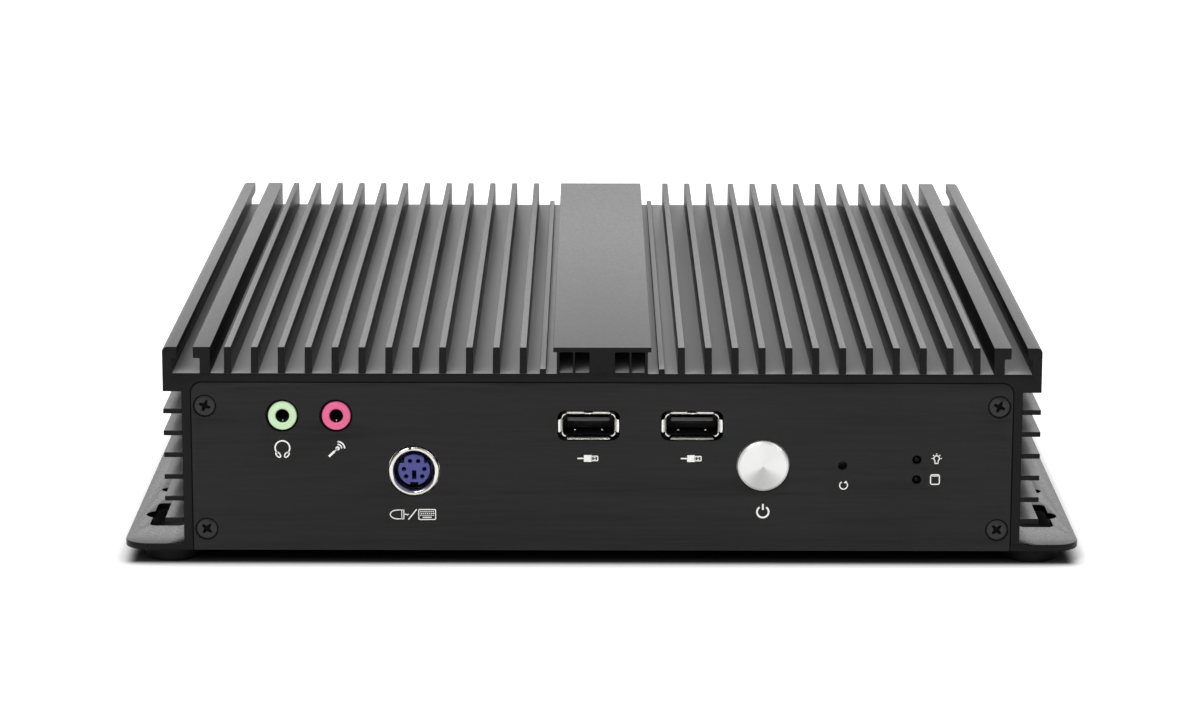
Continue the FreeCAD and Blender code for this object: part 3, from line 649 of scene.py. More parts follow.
@dataclass
class SubAssembly:
    """A group of pieces that ride on one body."""

    body: str = COMPUTER

    def piece(
        self, name: str, mesh: bpy.types.Mesh, finish: Finish, slot: str = "",
        nodes: Sequence[str] = (),
    ) -> bpy.types.Object:
        """Makes a finished piece out of a mesh.

        Args:
            name: the piece's name.
            mesh: its mesh, in place and in metres.
            finish: what its surface is.
            slot: the record's material slot, if it has one; not used.
            nodes: CAD nodes that it stands for.

        Returns:
            The piece.
        """
        mesh.name = name
        mesh.materials.clear()
        mesh.materials.append(finish.material())
        item = shown(name, mesh)
        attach(item, self.body)
        if nodes:
            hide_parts(*nodes)
        log.info("piece %s: %d faces", name, len(mesh.polygons))
        return item


# ---------------------------------------------------------------- geometry node trees
class ShapeTree:
    """A geometry node tree with named inputs that is run once for a plain mesh."""

    def __init__(self, name: str) -> None:
        """Starts a tree with one geometry output.

        Args:
            name: the tree's name.
        """
        self.tree = bpy.data.node_groups.new(name, "GeometryNodeTree")
        self.graph = Graph(self.tree)
        self.tree.interface.new_socket(
            "Geometry", in_out="OUTPUT", socket_type="NodeSocketGeometry"
        )
        self.ids: dict[str, str] = {}
        self.source = self.graph.add("NodeGroupInput")

    def input(self, name: str, kind: str) -> Socket:
        """Adds a named input.

        Args:
            name: its name.
            kind: Float, Int, Vector, Object, Material or Geometry.

        Returns:
            The socket inside the tree.
        """
        item = self.tree.interface.new_socket(
            name, in_out="INPUT", socket_type="NodeSocket" + kind
        )
        self.ids[name] = item.identifier
        return self.source.outputs[name]

    def end(self, shape: Socket, material: Socket) -> None:
        """Ends the tree in Realize Instances and Set Material.

        Args:
            shape: what the tree has made.
            material: its material.
        """
        real = self.graph.add("GeometryNodeRealizeInstances", {"Geometry": shape})
        paint = self.graph.add(
            "GeometryNodeSetMaterial", {"Geometry": real.outputs["Geometry"], "Material": material}
        )
        self.graph.add("NodeGroupOutput", {"Geometry": paint.outputs["Geometry"]})

    def grow(self, points: Sequence[Vector] = (), **values: object) -> bpy.types.Mesh:
        """Runs the tree.

        Args:
            points: places handed to the tree as its geometry, in metres.
            values: its inputs by name.

        Returns:
            The plain mesh.
        """
        mesh = bpy.data.meshes.new("seed")
        mesh.from_pydata([tuple(p) for p in points], [], [])
        holder = shown("seed", mesh)
        modifier = holder.modifiers.new("shape", "NODES")
        modifier.node_group = self.tree
        for name, value in values.items():
            modifier[self.ids[name]] = value
        return smooth(evaluated(holder))


FIN_SIZES = ("Pitch", "First", "Base", "Root", "Tip", "Rise", "Start", "End", "Rounding")


def fin_row_tree() -> ShapeTree:
    """Tree of a row of tapered fins that run along Y, spaced along X and rising in Z.

    Returns:
        The tree, with inputs for the fins' count, sizes and material.
    """
    shape = ShapeTree("fin_row")
    graph = shape.graph
    count = shape.input("Count", "Int")
    pitch, first, base, root, tip, rise, start, end, soft = (
        shape.input(name, "Float") for name in FIN_SIZES
    )
    material = shape.input("Material", "Material")
    profile = graph.add(
        "GeometryNodeCurvePrimitiveQuadrilateral",
        {"Offset": 0.0, "Bottom Width": root, "Top Width": tip, "Height": rise}, mode="TRAPEZOID",
    )
    fillet = graph.add(
        "GeometryNodeFilletCurve",
        {"Count": 2, "Curve": profile.outputs["Curve"], "Radius": soft}, mode="POLY",
    )
    filled = graph.add(
        "GeometryNodeFillCurve", {"Curve": fillet.outputs["Curve"]}, mode="NGONS"
    ).outputs["Mesh"]
    length = graph.math("SUBTRACT", end, start)
    sides = graph.add(
        "GeometryNodeExtrudeMesh",
        {"Individual": False, "Mesh": filled, "Offset Scale": length}, mode="FACES",
    )
    back = graph.add("GeometryNodeFlipFaces", {"Mesh": filled})
    bar = graph.add("GeometryNodeJoinGeometry", {"Geometry": sides.outputs["Mesh"]})
    graph.fill(bar, {"Geometry": back.outputs["Mesh"]})
    weld = graph.add(
        "GeometryNodeMergeByDistance", {"Distance": 1e-6, "Geometry": bar.outputs["Geometry"]}
    )
    middle = graph.math("MULTIPLY_ADD", rise, 0.5, base)
    place = graph.add("ShaderNodeCombineXYZ", {"X": first, "Y": end, "Z": middle})
    upright = graph.add("GeometryNodeTransform", {
        "Rotation": (math.pi / 2, 0.0, 0.0), "Geometry": weld.outputs["Geometry"],
        "Translation": place.outputs["Vector"],
    })
    step = graph.add("ShaderNodeCombineXYZ", {"X": pitch})
    line = graph.add(
        "GeometryNodeMeshLine", {"Count": count, "Offset": step.outputs["Vector"]}, mode="OFFSET"
    )
    row = graph.add("GeometryNodeInstanceOnPoints", {
        "Points": line.outputs["Mesh"], "Instance": upright.outputs["Geometry"]
    })
    shape.end(row.outputs["Instances"], material)
    return shape


def seated_tree() -> ShapeTree:
    """Tree that puts a copy of one piece on each given place, each spun about its own Y.

    Returns:
        The tree, with inputs for the places, the piece, its turn, its spin and its material.
    """
    shape = ShapeTree("seated_copies")
    graph = shape.graph
    places = shape.input("Places", "Geometry")
    model = shape.input("Model", "Object")
    turn = shape.input("Turn", "Vector")
    least, most = shape.input("Least", "Float"), shape.input("Most", "Float")
    seed = shape.input("Seed", "Int")
    material = shape.input("Material", "Material")
    info = graph.add("GeometryNodeObjectInfo", {"Object": model})
    rotation = graph.add("FunctionNodeEulerToRotation", {"Euler": turn})
    chance = graph.add("FunctionNodeRandomValue", {"Seed": seed}, data_type="FLOAT")
    for target, limit in zip([socket for socket in chance.inputs if socket.enabled], (least, most)):
        shape.tree.links.new(limit, target)
    angle = [socket for socket in chance.outputs if socket.enabled][0]
    spun = graph.add("FunctionNodeAxisAngleToRotation", {"Axis": (0.0, 1.0, 0.0), "Angle": angle})
    both = graph.add("FunctionNodeRotateRotation", {
        "Rotation": rotation.outputs["Rotation"], "Rotate By": spun.outputs["Rotation"]
    }, rotation_space="LOCAL")
    copies = graph.add("GeometryNodeInstanceOnPoints", {
        "Points": places, "Instance": info.outputs["Geometry"],
        "Rotation": both.outputs["Rotation"],
    })
    shape.end(copies.outputs["Instances"], material)
    return shape


@dataclass
class Trees:
    """The two trees that the sub-assemblies share."""

    fins: ShapeTree = field(default_factory=fin_row_tree)
    seats: ShapeTree = field(default_factory=seated_tree)
    seed: int = 4

    def copies(
        self, model: bpy.types.Mesh, places: Sequence[Vector], finish: Finish,
        turn: Sequence[float] = (0.0, 0.0, 0.0), spin: Sequence[float] = (0.0, 0.0),
    ) -> bpy.types.Mesh:
        """Copies one mesh onto several places.

        Args:
            model: the mesh, about the origin.
            places: where the copies go, in millimetres.
            finish: what their surface is.
            turn: rotation that all of them share, in radians about X, Y and Z.
            spin: least and most turn of each copy about its own Y axis, in degrees.

        Returns:
            All copies as one plain mesh.
        """
        holder = shown("model", model)
        mesh = self.seats.grow(
            [place * MM for place in places], Model=holder, Turn=tuple(turn),
            Least=math.radians(spin[0]), Most=math.radians(spin[1]), Seed=self.seed,
            Material=finish.material(),
        )
        bpy.data.objects.remove(holder)
        return mesh


# ---------------------------------------------------------------- extrusion
@dataclass
class FinnedExtrusion(SubAssembly):
    """The extruded housing: roof, walls, shoulders and hollow rib, and its rows of fins."""

    trees: Trees = field(kw_only=True)
    wall: float = 2.15
    roof: float = 2.15
    side_fin_reach: float = 4.5
    fin_tall: float = 6.5
    fin_count: int = 12
    fin_first: float = 19.2
    fin_pitch: float = 6.52
    fin_root: float = 1.8
    fin_tip: float = 1.6
    low_rib_x: float = 14.45
    low_rib_width: float = 1.4
    low_rib_tall: float = 1.2
    side_fin_count: int = 6
    side_fin_pitch: float = 5.47
    side_fin_first: float = 7.55
    side_fin_thickness: float = 1.25
    shoulder_drop: float = 4.6
    shoulder_width: float = 3.6
    shoulder_round: float = 1.0
    slot_mouth: float = 3.9
    slot_lip: float = 2.8
    slot_stem: float = 2.6
    slot_lip_in: float = 1.6
    slot_lip_out: float = 1.2
    cap_half: float = 11.9
    cap_thickness: float = 1.2
    rib_half: float = 11.05
    rib_skin: float = 0.7
    web_x: float = 6.85
    web: float = 0.5
    stem_half: float = 3.1
    pocket_floor: float = 0.3
    rounding: float = 0.18
    inner_corner: float = 2.75
    end_bevel: float = 0.15

    def __post_init__(self) -> None:
        """Reads the levels that everything else is measured from."""
        low, high = levels("heatsink_chassis")
        self.front, self.rear = low.y, high.y
        self.half, self.top, self.floor = high.x, high.z, low.z
        self.valley = self.top - self.fin_tall
        self.outside = self.half - self.side_fin_reach
        self.inside = self.outside - self.wall
        self.base = levels("base_plate")[0].z

    def half_outline(self) -> Outline:
        """Draws the right half of the section without its fins.

        Returns:
            The outline, from the cap over the shoulder to the roof's underside.
        """
        block_in = self.half - self.shoulder_width
        block_out = block_in + self.slot_lip_out
        hook = block_in - self.slot_mouth
        stem = hook - self.slot_lip_in
        lip = self.top - self.slot_lip
        under_cap = self.top - self.cap_thickness
        rib0 = self.low_rib_x - self.low_rib_width / 2
        rib1 = self.low_rib_x + self.low_rib_width / 2
        rib_top = self.valley + self.low_rib_tall
        shoulder = self.valley - self.shoulder_drop
        cut = 0.3 * self.shoulder_round
        return [
            (self.cap_half, self.top), (self.cap_half, under_cap), (self.rib_half, under_cap),
            (self.rib_half, self.valley), (rib0, self.valley), (rib0, rib_top), (rib1, rib_top),
            (rib1, self.valley), (stem - self.slot_stem, self.valley),
            (stem - self.slot_stem, self.top), (hook, self.top), (hook, lip), (stem, lip),
            (stem, self.valley), (block_out, self.valley), (block_out, lip), (block_in, lip),
            (block_in, self.top), (self.half - self.shoulder_round, self.top),
            (self.half - cut, self.top - cut), (self.half, self.top - self.shoulder_round),
            (self.half, shoulder), (self.outside, shoulder), (self.outside, self.floor),
            (self.inside, self.floor),
        ] + arc(
            self.inside - self.inner_corner, self.valley - self.roof - self.inner_corner,
            self.inner_corner, 0, 90, 8,
        )

    def pockets(self) -> list[Outline]:
        """Draws the openings through the hollow rib.

        Returns:
            Two outlines on each side.
        """
        low = self.valley + self.pocket_floor
        high = self.top - self.cap_thickness
        outlines = []
        for x0, x1 in (
            (self.stem_half, self.web_x - self.web / 2),
            (self.web_x + self.web / 2, self.rib_half - self.rib_skin),
        ):
            for side in (-1, 1):
                x = side * (x0 + x1) / 2
                outlines.append(rounded_rectangle(x, (low + high) / 2, x1 - x0, high - low, 0.2, 2))
        return outlines

    def housing(self) -> bpy.types.Mesh:
        """Extrudes walls, roof, shoulders, T-slots and hollow rib as one section.

        Returns:
            The mesh.
        """
        right = self.half_outline()
        outline = softened(right + turned_over(right), self.rounding)
        return plate([outline] + self.pockets(), self.front, self.rear, self.end_bevel)

    def row(
        self, count: int, pitch: float, first: float, base: float, root: float, tip: float,
        rise: float,
    ) -> bpy.types.Mesh:
        """Makes one row of fins with the shared tree, sizes in millimetres.

        Args:
            count: how many fins.
            pitch: step from fin to fin, against X if negative.
            first: middle of the first fin.
            base: level that the fins stand on.
            root: thickness at the base.
            tip: thickness at the top.
            rise: height over the base.

        Returns:
            The mesh.
        """
        sizes = (pitch, first, base, root, tip, rise, self.front, self.rear, self.rounding)
        inputs = {name: size * MM for name, size in zip(FIN_SIZES, sizes)}
        return self.trees.fins.grow(Count=count, Material=EXTRUSION.material(), **inputs)

    def fins(self) -> bpy.types.Mesh:
        """Makes upright fins on both halves of the roof and flat fins on both walls.

        Returns:
            All rows as one mesh.
        """
        rows = [
            self.row(
                self.fin_count, side * self.fin_pitch, side * self.fin_first, self.valley,
                self.fin_root, self.fin_tip, self.fin_tall,
            )
            for side in (-1, 1)
        ]
        thick = self.side_fin_thickness
        lowest = self.base + self.side_fin_first
        highest = lowest + (self.side_fin_count - 1) * self.side_fin_pitch
        for first, turn in ((-highest, math.pi / 2), (lowest, -math.pi / 2)):
            wall = self.row(
                self.side_fin_count, self.side_fin_pitch, first, self.outside, thick, thick,
                self.side_fin_reach,
            )
            wall.transform(Matrix.Rotation(turn, 4, "Y"))
            rows.append(wall)
        return joined(rows)

    def build(self) -> None:
        """Makes the housing and its fins, which together stand for the chassis."""
        chassis = ("heatsink_chassis",)
        self.piece("extruded_housing", self.housing(), EXTRUSION, EXTRUSION.name, chassis)
        fins = self.piece("cooling_fins", self.fins(), EXTRUSION, EXTRUSION.name, chassis)
        edges = fins.modifiers.new("end_bevel", "BEVEL")
        edges.width = self.end_bevel * MM
        edges.segments = 2
        edges.limit_method = "ANGLE"
        edges.angle_limit = math.radians(60)


# ---------------------------------------------------------------- fasteners
@dataclass
class Screws(SubAssembly):
    """Countersunk screws with a cross recess."""

    trees: Trees = field(kw_only=True)
    head_radius: float = 2.5
    rim: float = 0.05
    hole_radius: float = 2.85
    channel_radius: float = 1.55
    sheet: float = 1.6
    arm: float = 1.45
    arm_width: float = 0.62
    recess: float = 1.1
    sink: float = 0.42
    mouth: float = 0.5
    spin: tuple[float, float] = (18.0, 50.0)
    turns: dict[str, Sequence[float]] = field(
        default_factory=lambda: {
            "front_panel": (0.0, 0.0, 0.0),
            "rear_panel": (0.0, 0.0, math.pi),
            "base_plate": (math.pi / 2, 0.0, 0.0),
        }
    )

    def cross(self, scale: float) -> Outline:
        """Draws the cross recess, its arms waisted towards the middle.

        Args:
            scale: its size as a share of the full one.

        Returns:
            The outline.
        """
        reach, half = self.arm * scale, self.arm_width / 2 * scale
        quarter = [(reach, -half * 0.8), (reach, half * 0.8), (half * 1.5, half * 1.5)]
        points = []
        for number in range(4):
            c, s = math.cos(math.pi / 2 * number), math.sin(math.pi / 2 * number)
            points += [(x * c - y * s, x * s + y * c) for x, y in quarter]
        return softened(points, 0.1)

    def head(self) -> bpy.types.Mesh:
        """Makes one screw head.

        Returns:
            The mesh, its seat's mouth at the origin and its shank along +Y.
        """
        outer = self.head_radius - self.rim
        slope = (self.hole_radius - self.channel_radius) / self.sheet
        waist = outer - slope * self.recess
        face = plate(
            [circle(0, 0, outer, 40), self.cross(1.0)], self.sink, self.sink + 0.5, self.rim
        )
        shank = lathe(
            [
                (0.45, outer + 0.01), (self.recess + 0.1, waist), (self.recess + 0.1, 0.0),
                (self.recess, 0.0), (self.recess, waist - 0.2),
            ],
            steps=32, closed=False, start=self.sink,
        )
        return joined([face, shank])

    def shade(self) -> bpy.types.Mesh:
        """Makes dark sheets in the depth of the cross and in the gap round the head: painted shade.

        Returns:
            The mesh, placed as the head is.
        """
        well = plate(
            [circle(0, 0, self.head_radius - 0.45, 40), self.cross(0.9)],
            self.sink + 0.3, self.sink + self.recess, 0.02,
        )
        floor = lathe(
            [(0.8, 0.0), (0.8, self.arm + 0.1), (1.0, 0.0)],
            steps=24, closed=False, start=self.sink,
        )
        inner = self.head_radius - 0.06
        gap = lathe(
            [
                (0.06, inner), (0.06, self.hole_radius - 0.05), (0.3, self.hole_radius - 0.2),
                (0.3, inner),
            ],
            steps=40, start=self.sink,
        )
        return joined([well, floor, gap])

    def seats(self, carrier: str) -> list[Vector]:
        """Finds the places of a sheet's screws.

        Args:
            carrier: the panel or plate that they hold.

        Returns:
            The four corners of the screws' box, on the sheet's outer face.
        """
        low, high = levels(carrier + "_screws")
        sheet_low, sheet_high = levels(carrier)
        r = self.head_radius
        xs = (low.x + r, high.x - r)
        if carrier == "base_plate":
            return [Vector((x, y, sheet_low.z)) for x in xs for y in (low.y + r, high.y - r)]
        y = sheet_low.y if carrier == "front_panel" else sheet_high.y
        return [Vector((x, y, z)) for x in xs for z in (low.z + r, high.z - r)]

    def build(self) -> None:
        """Makes the three groups of screws and the painted shade in their recesses."""
        for carrier, turn in self.turns.items():
            node, seats = carrier + "_screws", self.seats(carrier)
            heads = self.trees.copies(self.head(), seats, SCREW, turn, self.spin)
            self.piece(node + "_heads", heads, SCREW, SCREW.name, (node,))
            # dark sheets in the cross recess and round the head: painted shade
            shades = self.trees.copies(self.shade(), seats, PAINTED_SHADE_BLACK, turn, self.spin)
            self.piece(node + "_recesses", shades, PAINTED_SHADE_BLACK, SCREW.name)

    def cup(self, seat: Vector, carrier: str) -> bpy.types.Mesh:
        """Makes the conical seat of a screw in its sheet.

        Args:
            seat: the screw's place.
            carrier: the panel that it is in.

        Returns:
            The mesh.
        """
        wide = self.hole_radius
        cone = lathe(
            [
                (0.0, wide + 0.02), (0.0, wide - 0.02), (self.mouth, wide - 0.08),
                (self.sheet, self.channel_radius), (self.sheet, wide + 0.02),
            ],
            steps=40,
        )
        turn = Matrix.Rotation(self.turns[carrier][2], 4, "Z")
        cone.transform(Matrix.Translation(seat * MM) @ turn)
        return cone


# ---------------------------------------------------------------- sockets
@dataclass
class FlatSocket(SubAssembly):
    """Flat serial socket: a folded shell with four flared lips, and its contact tongue."""

    trees: Trees = field(kw_only=True)
    name: str = "front_usb"
    side: str = "left"
    wide: float = 13.1
    tall: float = 5.7
    skin: float = 0.3
    flare_wide: float = 14.85
    flare_tall: float = 7.0
    flare_depth: float = 1.2
    flat_lip: float = 10.4
    upright_lip: float = 3.1
    notch: float = 2.5
    corner: float = 1.1
    bracket_front: float = 0.6
    tongue_depth: float = 8.9
    contact_count: int = 4
    contact_pitch: float = 2.3

    def __post_init__(self) -> None:
        """Finds the socket's place and the way it faces."""
        self.shell_node = f"{self.name}_shell_{self.side}"
        self.tongue_node = f"{self.name}_tongue_{self.side}"
        low, high = levels(self.shell_node)
        self.at_front = low.y < 0
        self.x, self.z = (low.x + high.x) / 2, (low.z + high.z) / 2
        self.length = high.y - low.y
        self.mouth = low.y if self.at_front else high.y

    def part(
        self, name: str, mesh: bpy.types.Mesh, finish: Finish, slot: str = "nickel_shield",
        nodes: Sequence[str] = (),
    ) -> None:
        """Makes a piece of a mesh that runs inwards along +Y from the origin.

        Args:
            name: the piece's name after the socket's.
            mesh: the mesh, which is moved to the socket.
            finish: what its surface is.
            slot: the record's material slot.
            nodes: CAD nodes that it stands for.
        """
        turn = Matrix.Rotation(0.0 if self.at_front else math.pi, 4, "Z")
        mesh.transform(Matrix.Translation(Vector((self.x, self.mouth, self.z)) * MM) @ turn)
        self.piece(f"{self.name}_{self.side}_{name}", mesh, finish, slot, nodes)

    def sheet(
        self, rows: Sequence[Sequence[Sequence[float]]], way: Vector, skin: float
    ) -> bpy.types.Mesh:
        """Makes a bent sheet out of a grid of points.

        Args:
            rows: rows of points, in millimetres.
            way: a direction that its outer side faces.
            skin: its thickness.

        Returns:
            The mesh.
        """
        bm = bmesh.new()
        grid = [[bm.verts.new(Vector(spot) * MM) for spot in row] for row in rows]
        for first, second in zip(grid, grid[1:]):
            for j in range(len(first) - 1):
                bm.faces.new((first[j], second[j], second[j + 1], first[j + 1]))
        bmesh.ops.recalc_face_normals(bm, faces=bm.faces)
        if sum(face.normal.dot(way) for face in bm.faces) < 0:
            bmesh.ops.reverse_faces(bm, faces=bm.faces)
        bmesh.ops.solidify(bm, geom=bm.faces[:], thickness=skin * MM)
        return from_bmesh(bm, "sheet")

    def lip(
        self, half: float, inner: float, outer: float, cut: float, turn: float
    ) -> bpy.types.Mesh:
        """Makes one flared lip.

        Args:
            half: half its width.
            inner: distance of the tube's wall from the middle.
            outer: distance of the lip's edge from the middle.
            cut: half-width of the notch in its edge, or 0.
            turn: its turn about Y, in degrees; 0 is the upper lip.

        Returns:
            The mesh.
        """
        across, along = 32, 6
        rows = []
        for i in range(across + 1):
            u = -half + 2 * half * i / across
            reach = 1 - 0.06 * (abs(u) / half) ** 6
            if cut and abs(u) < cut:
                reach *= 1 - 0.55 * math.sqrt(1 - (u / cut) ** 2)
            shares = [j / along * reach for j in range(along + 1)]
            rows.append([
                (u, self.flare_depth * 1.5 * (1 - t) ** 2.2, inner + (outer - inner) * t**1.15)
                for t in shares
            ])
        mesh = self.sheet(rows, Vector((0, 0, 1)), self.skin * 0.8)
        mesh.transform(Matrix.Rotation(math.radians(turn), 4, "Y"))
        return mesh

    def bracket(self, right: int, up: int) -> bpy.types.Mesh:
        """Makes one corner of the tube, which reaches forward between two lips.

        Args:
            right: 1 for the right side, -1 for the left.
            up: 1 for the top, -1 for the bottom.

        Returns:
            The mesh.
        """
        across, along = 10, 3
        radius = self.corner
        spots = arc(self.wide / 2 - radius, self.tall / 2 - radius, radius, 84, 6, across)
        reach = self.flare_depth * 1.6 - self.bracket_front
        rows = [
            [(right * x, self.bracket_front + reach * j / along, up * z) for j in range(along + 1)]
            for x, z in spots
        ]
        return self.sheet(rows, Vector((right, 0, up)), self.skin * 0.7)

    def tube(self, trim: float, skin: float, y0: float, y1: float, bevel: float) -> bpy.types.Mesh:
        """Makes a tube with the shell's rounded section.

        Args:
            trim: how far its outside lies inside the shell's.
            skin: its thickness.
            y0: where it starts.
            y1: where it ends.
            bevel: radius of its rims.

        Returns:
            The mesh.
        """
        inner = self.corner - self.skin
        outlines = [
            rounded_rectangle(0, 0, self.wide - 2 * cut, self.tall - 2 * cut, radius)
            for cut, radius in ((trim, inner if trim else self.corner), (trim + skin, inner))
        ]
        return plate(outlines, y0, y1, bevel)

    def shell(self) -> bpy.types.Mesh:
        """Makes the tube with rounded corners, three lips and the corners between them.

        Returns:
            The mesh.
        """
        upright = (self.upright_lip / 2, self.wide / 2, self.flare_wide / 2, 0.0)
        return joined([
            self.tube(0.0, self.skin, self.flare_depth * 1.45, self.length, 0.03),
            self.lip(self.flat_lip / 2, self.tall / 2, self.flare_tall / 2, self.notch / 2, 0),
            self.lip(*upright, 90),
            self.lip(*upright, -90),
        ] + [self.bracket(right, up) for right in (-1, 1) for up in (-1, 1)])

    def build(self) -> None:
        """Makes the shell, its inside darkened with painted shade, the tongue and the contacts."""
        self.part("folded_shell", self.shell(), TIN, nodes=(self.shell_node,))
        lower = self.lip(self.flat_lip / 2, self.tall / 2, self.flare_tall / 2, 0.0, 180)
        self.part("lower_lip", lower, NICKEL)
        # dark tube inside the shell and a dark sliver along its seam: painted shade
        painted_shade_lining = self.tube(
            self.skin + 0.01, 0.05, self.flare_depth * 0.9, self.length - 0.6, 0.01
        )
        floor = -self.tall / 2
        seam = brick((-0.06, 0.0, -self.flare_tall / 2), (0.06, self.length - 3, floor + 0.34), 0.0)
        self.part("inside", joined([painted_shade_lining, seam]), PAINTED_SHADE_BLACK)
        fingers = [
            brick((x - 0.25, 2.6, floor + 1.0), (x + 0.25, 3.2, floor + 1.4), 0.14)
            for x in (-3.3, 3.3)
        ]
        self.part("fingers", joined(fingers), NICKEL)
        low, high = levels(self.tongue_node)
        top, end = high.z - self.z, self.tongue_depth
        front = self.flare_depth + 0.9
        tongue = brick((-5.1, front, top - 1.8), (5.1, end, top - 0.9), 0.08)
        ridge = brick((-4.9, front + 2.7, top - 1.0), (4.9, end, top - 0.4), 0.08)
        back = brick((-6.2, end - 0.2, self.skin + floor), (6.2, high.y - low.y + 1, top), 0.1)
        self.part(
            "tongue", joined([tongue, ridge, back]), TONGUE, "black_plastic", (self.tongue_node,)
        )
        first = -(self.contact_count - 1) / 2 * self.contact_pitch
        bar = brick((-0.55, 0.0, -0.14), (0.55, 6.4, 0.02), 0.05)
        places = [
            Vector((first + n * self.contact_pitch, front + 1.2, top - 1.8))
            for n in range(self.contact_count)
        ]
        self.part("contacts", self.trees.copies(bar, places, GOLD), GOLD)


@dataclass
class AudioSocket(SubAssembly):
    """Round audio socket: a moulded body with a nose, painted shade in its bore and round its nose,
    and a contact spring.
    """

    node: str = "headphone_jack"
    finish: Finish = MINT
    nose: float = 3.48
    bore: float = 1.7
    depth: float = 12.5
    chamfer: float = 0.3
    soft: float = 0.34
    # depth to which the painted shade lines the bore
    painted_shade_depth: float = 5.0
    gap: float = 0.56
    shift: float = 0.1
    # share of the body's colour kept in the painted shade on the bore's wall
    shade: float = 0.1

    def build(self) -> None:
        """Makes the body with its nose, a dark ring round the nose and a dark disc deep in the bore
        as painted shade, a darker copy of the body's colour on the bore's wall as painted shade,
        and a spring.
        """
        low, high = levels(self.node)
        panel_back = levels("front_panel")[1].y
        z, face = (low.z + high.z) / 2, low.y
        x = (low.x + high.x) / 2 + self.shift
        behind = panel_back - face
        nose, bore, soft, end = self.nose, self.bore, self.soft, self.painted_shade_depth
        mouth = bore + self.chamfer
        moulding = lathe(
            [
                (behind + 0.4, nose), (soft, nose), (0.12, nose - 0.12), (0.03, nose - soft),
                (0.08, nose - soft - 0.08), (0.08, mouth + 0.32), (0.0, mouth + 0.24),
                (0.0, mouth + 0.1), (0.06, bore + self.chamfer * 0.7), (self.chamfer, bore),
                (self.depth, bore), (self.depth, 0.0),
            ],
            x, z, closed=False, start=face,
        )
        hole = circle(x, z, bore + 0.02, 40)
        body = plate([face_of(self.node, 0.0, 0.5), hole], panel_back, high.y, 0.12)
        slot = self.finish.name
        self.piece(
            self.node + "_moulding", joined([moulding, body]), self.finish, slot, (self.node,)
        )
        # dark ring in the gap round the nose: painted shade
        painted_shade_ring = lathe(
            [
                (-0.9, nose + 0.01), (-0.9, nose + self.gap), (-0.02, nose + self.gap),
                (-0.02, nose + 0.01),
            ],
            x, z, start=panel_back,
        )
        # dark disc at the inner end of the bore: painted shade
        painted_shade_disc = lathe(
            [(end, bore - 0.02), (end, 0.0), (end + 0.3, 0.0), (end + 0.3, bore - 0.02)],
            x, z, 48, False, face,
        )
        self.piece(self.node + "_seal", joined([painted_shade_ring, painted_shade_disc]), PAINTED_SHADE_BLACK, slot)
        # sleeve on the bore's wall in a darker copy of the body's colour: painted shade
        painted_shade_lining = lathe(
            [(soft, bore - 0.01), (soft, bore - 0.06), (end, bore - 0.06), (end, bore - 0.01)],
            x, z, 48, start=face,
        )
        painted_shade_colour = tuple(channel**2 * self.shade for channel in self.finish.colour)
        painted_shade_finish = replace(self.finish, name=self.finish.name + "_bore", colour=painted_shade_colour)
        self.piece(self.node + "_bore", painted_shade_lining, painted_shade_finish, slot)
        spring = brick(
            (x - 0.1, face + 1.3, z - bore + 0.05), (x + 0.1, face + 3.4, z - bore + 0.6), 0.04
        )
        self.piece(self.node + "_contact_spring", spring, NICKEL, NICKEL.name)


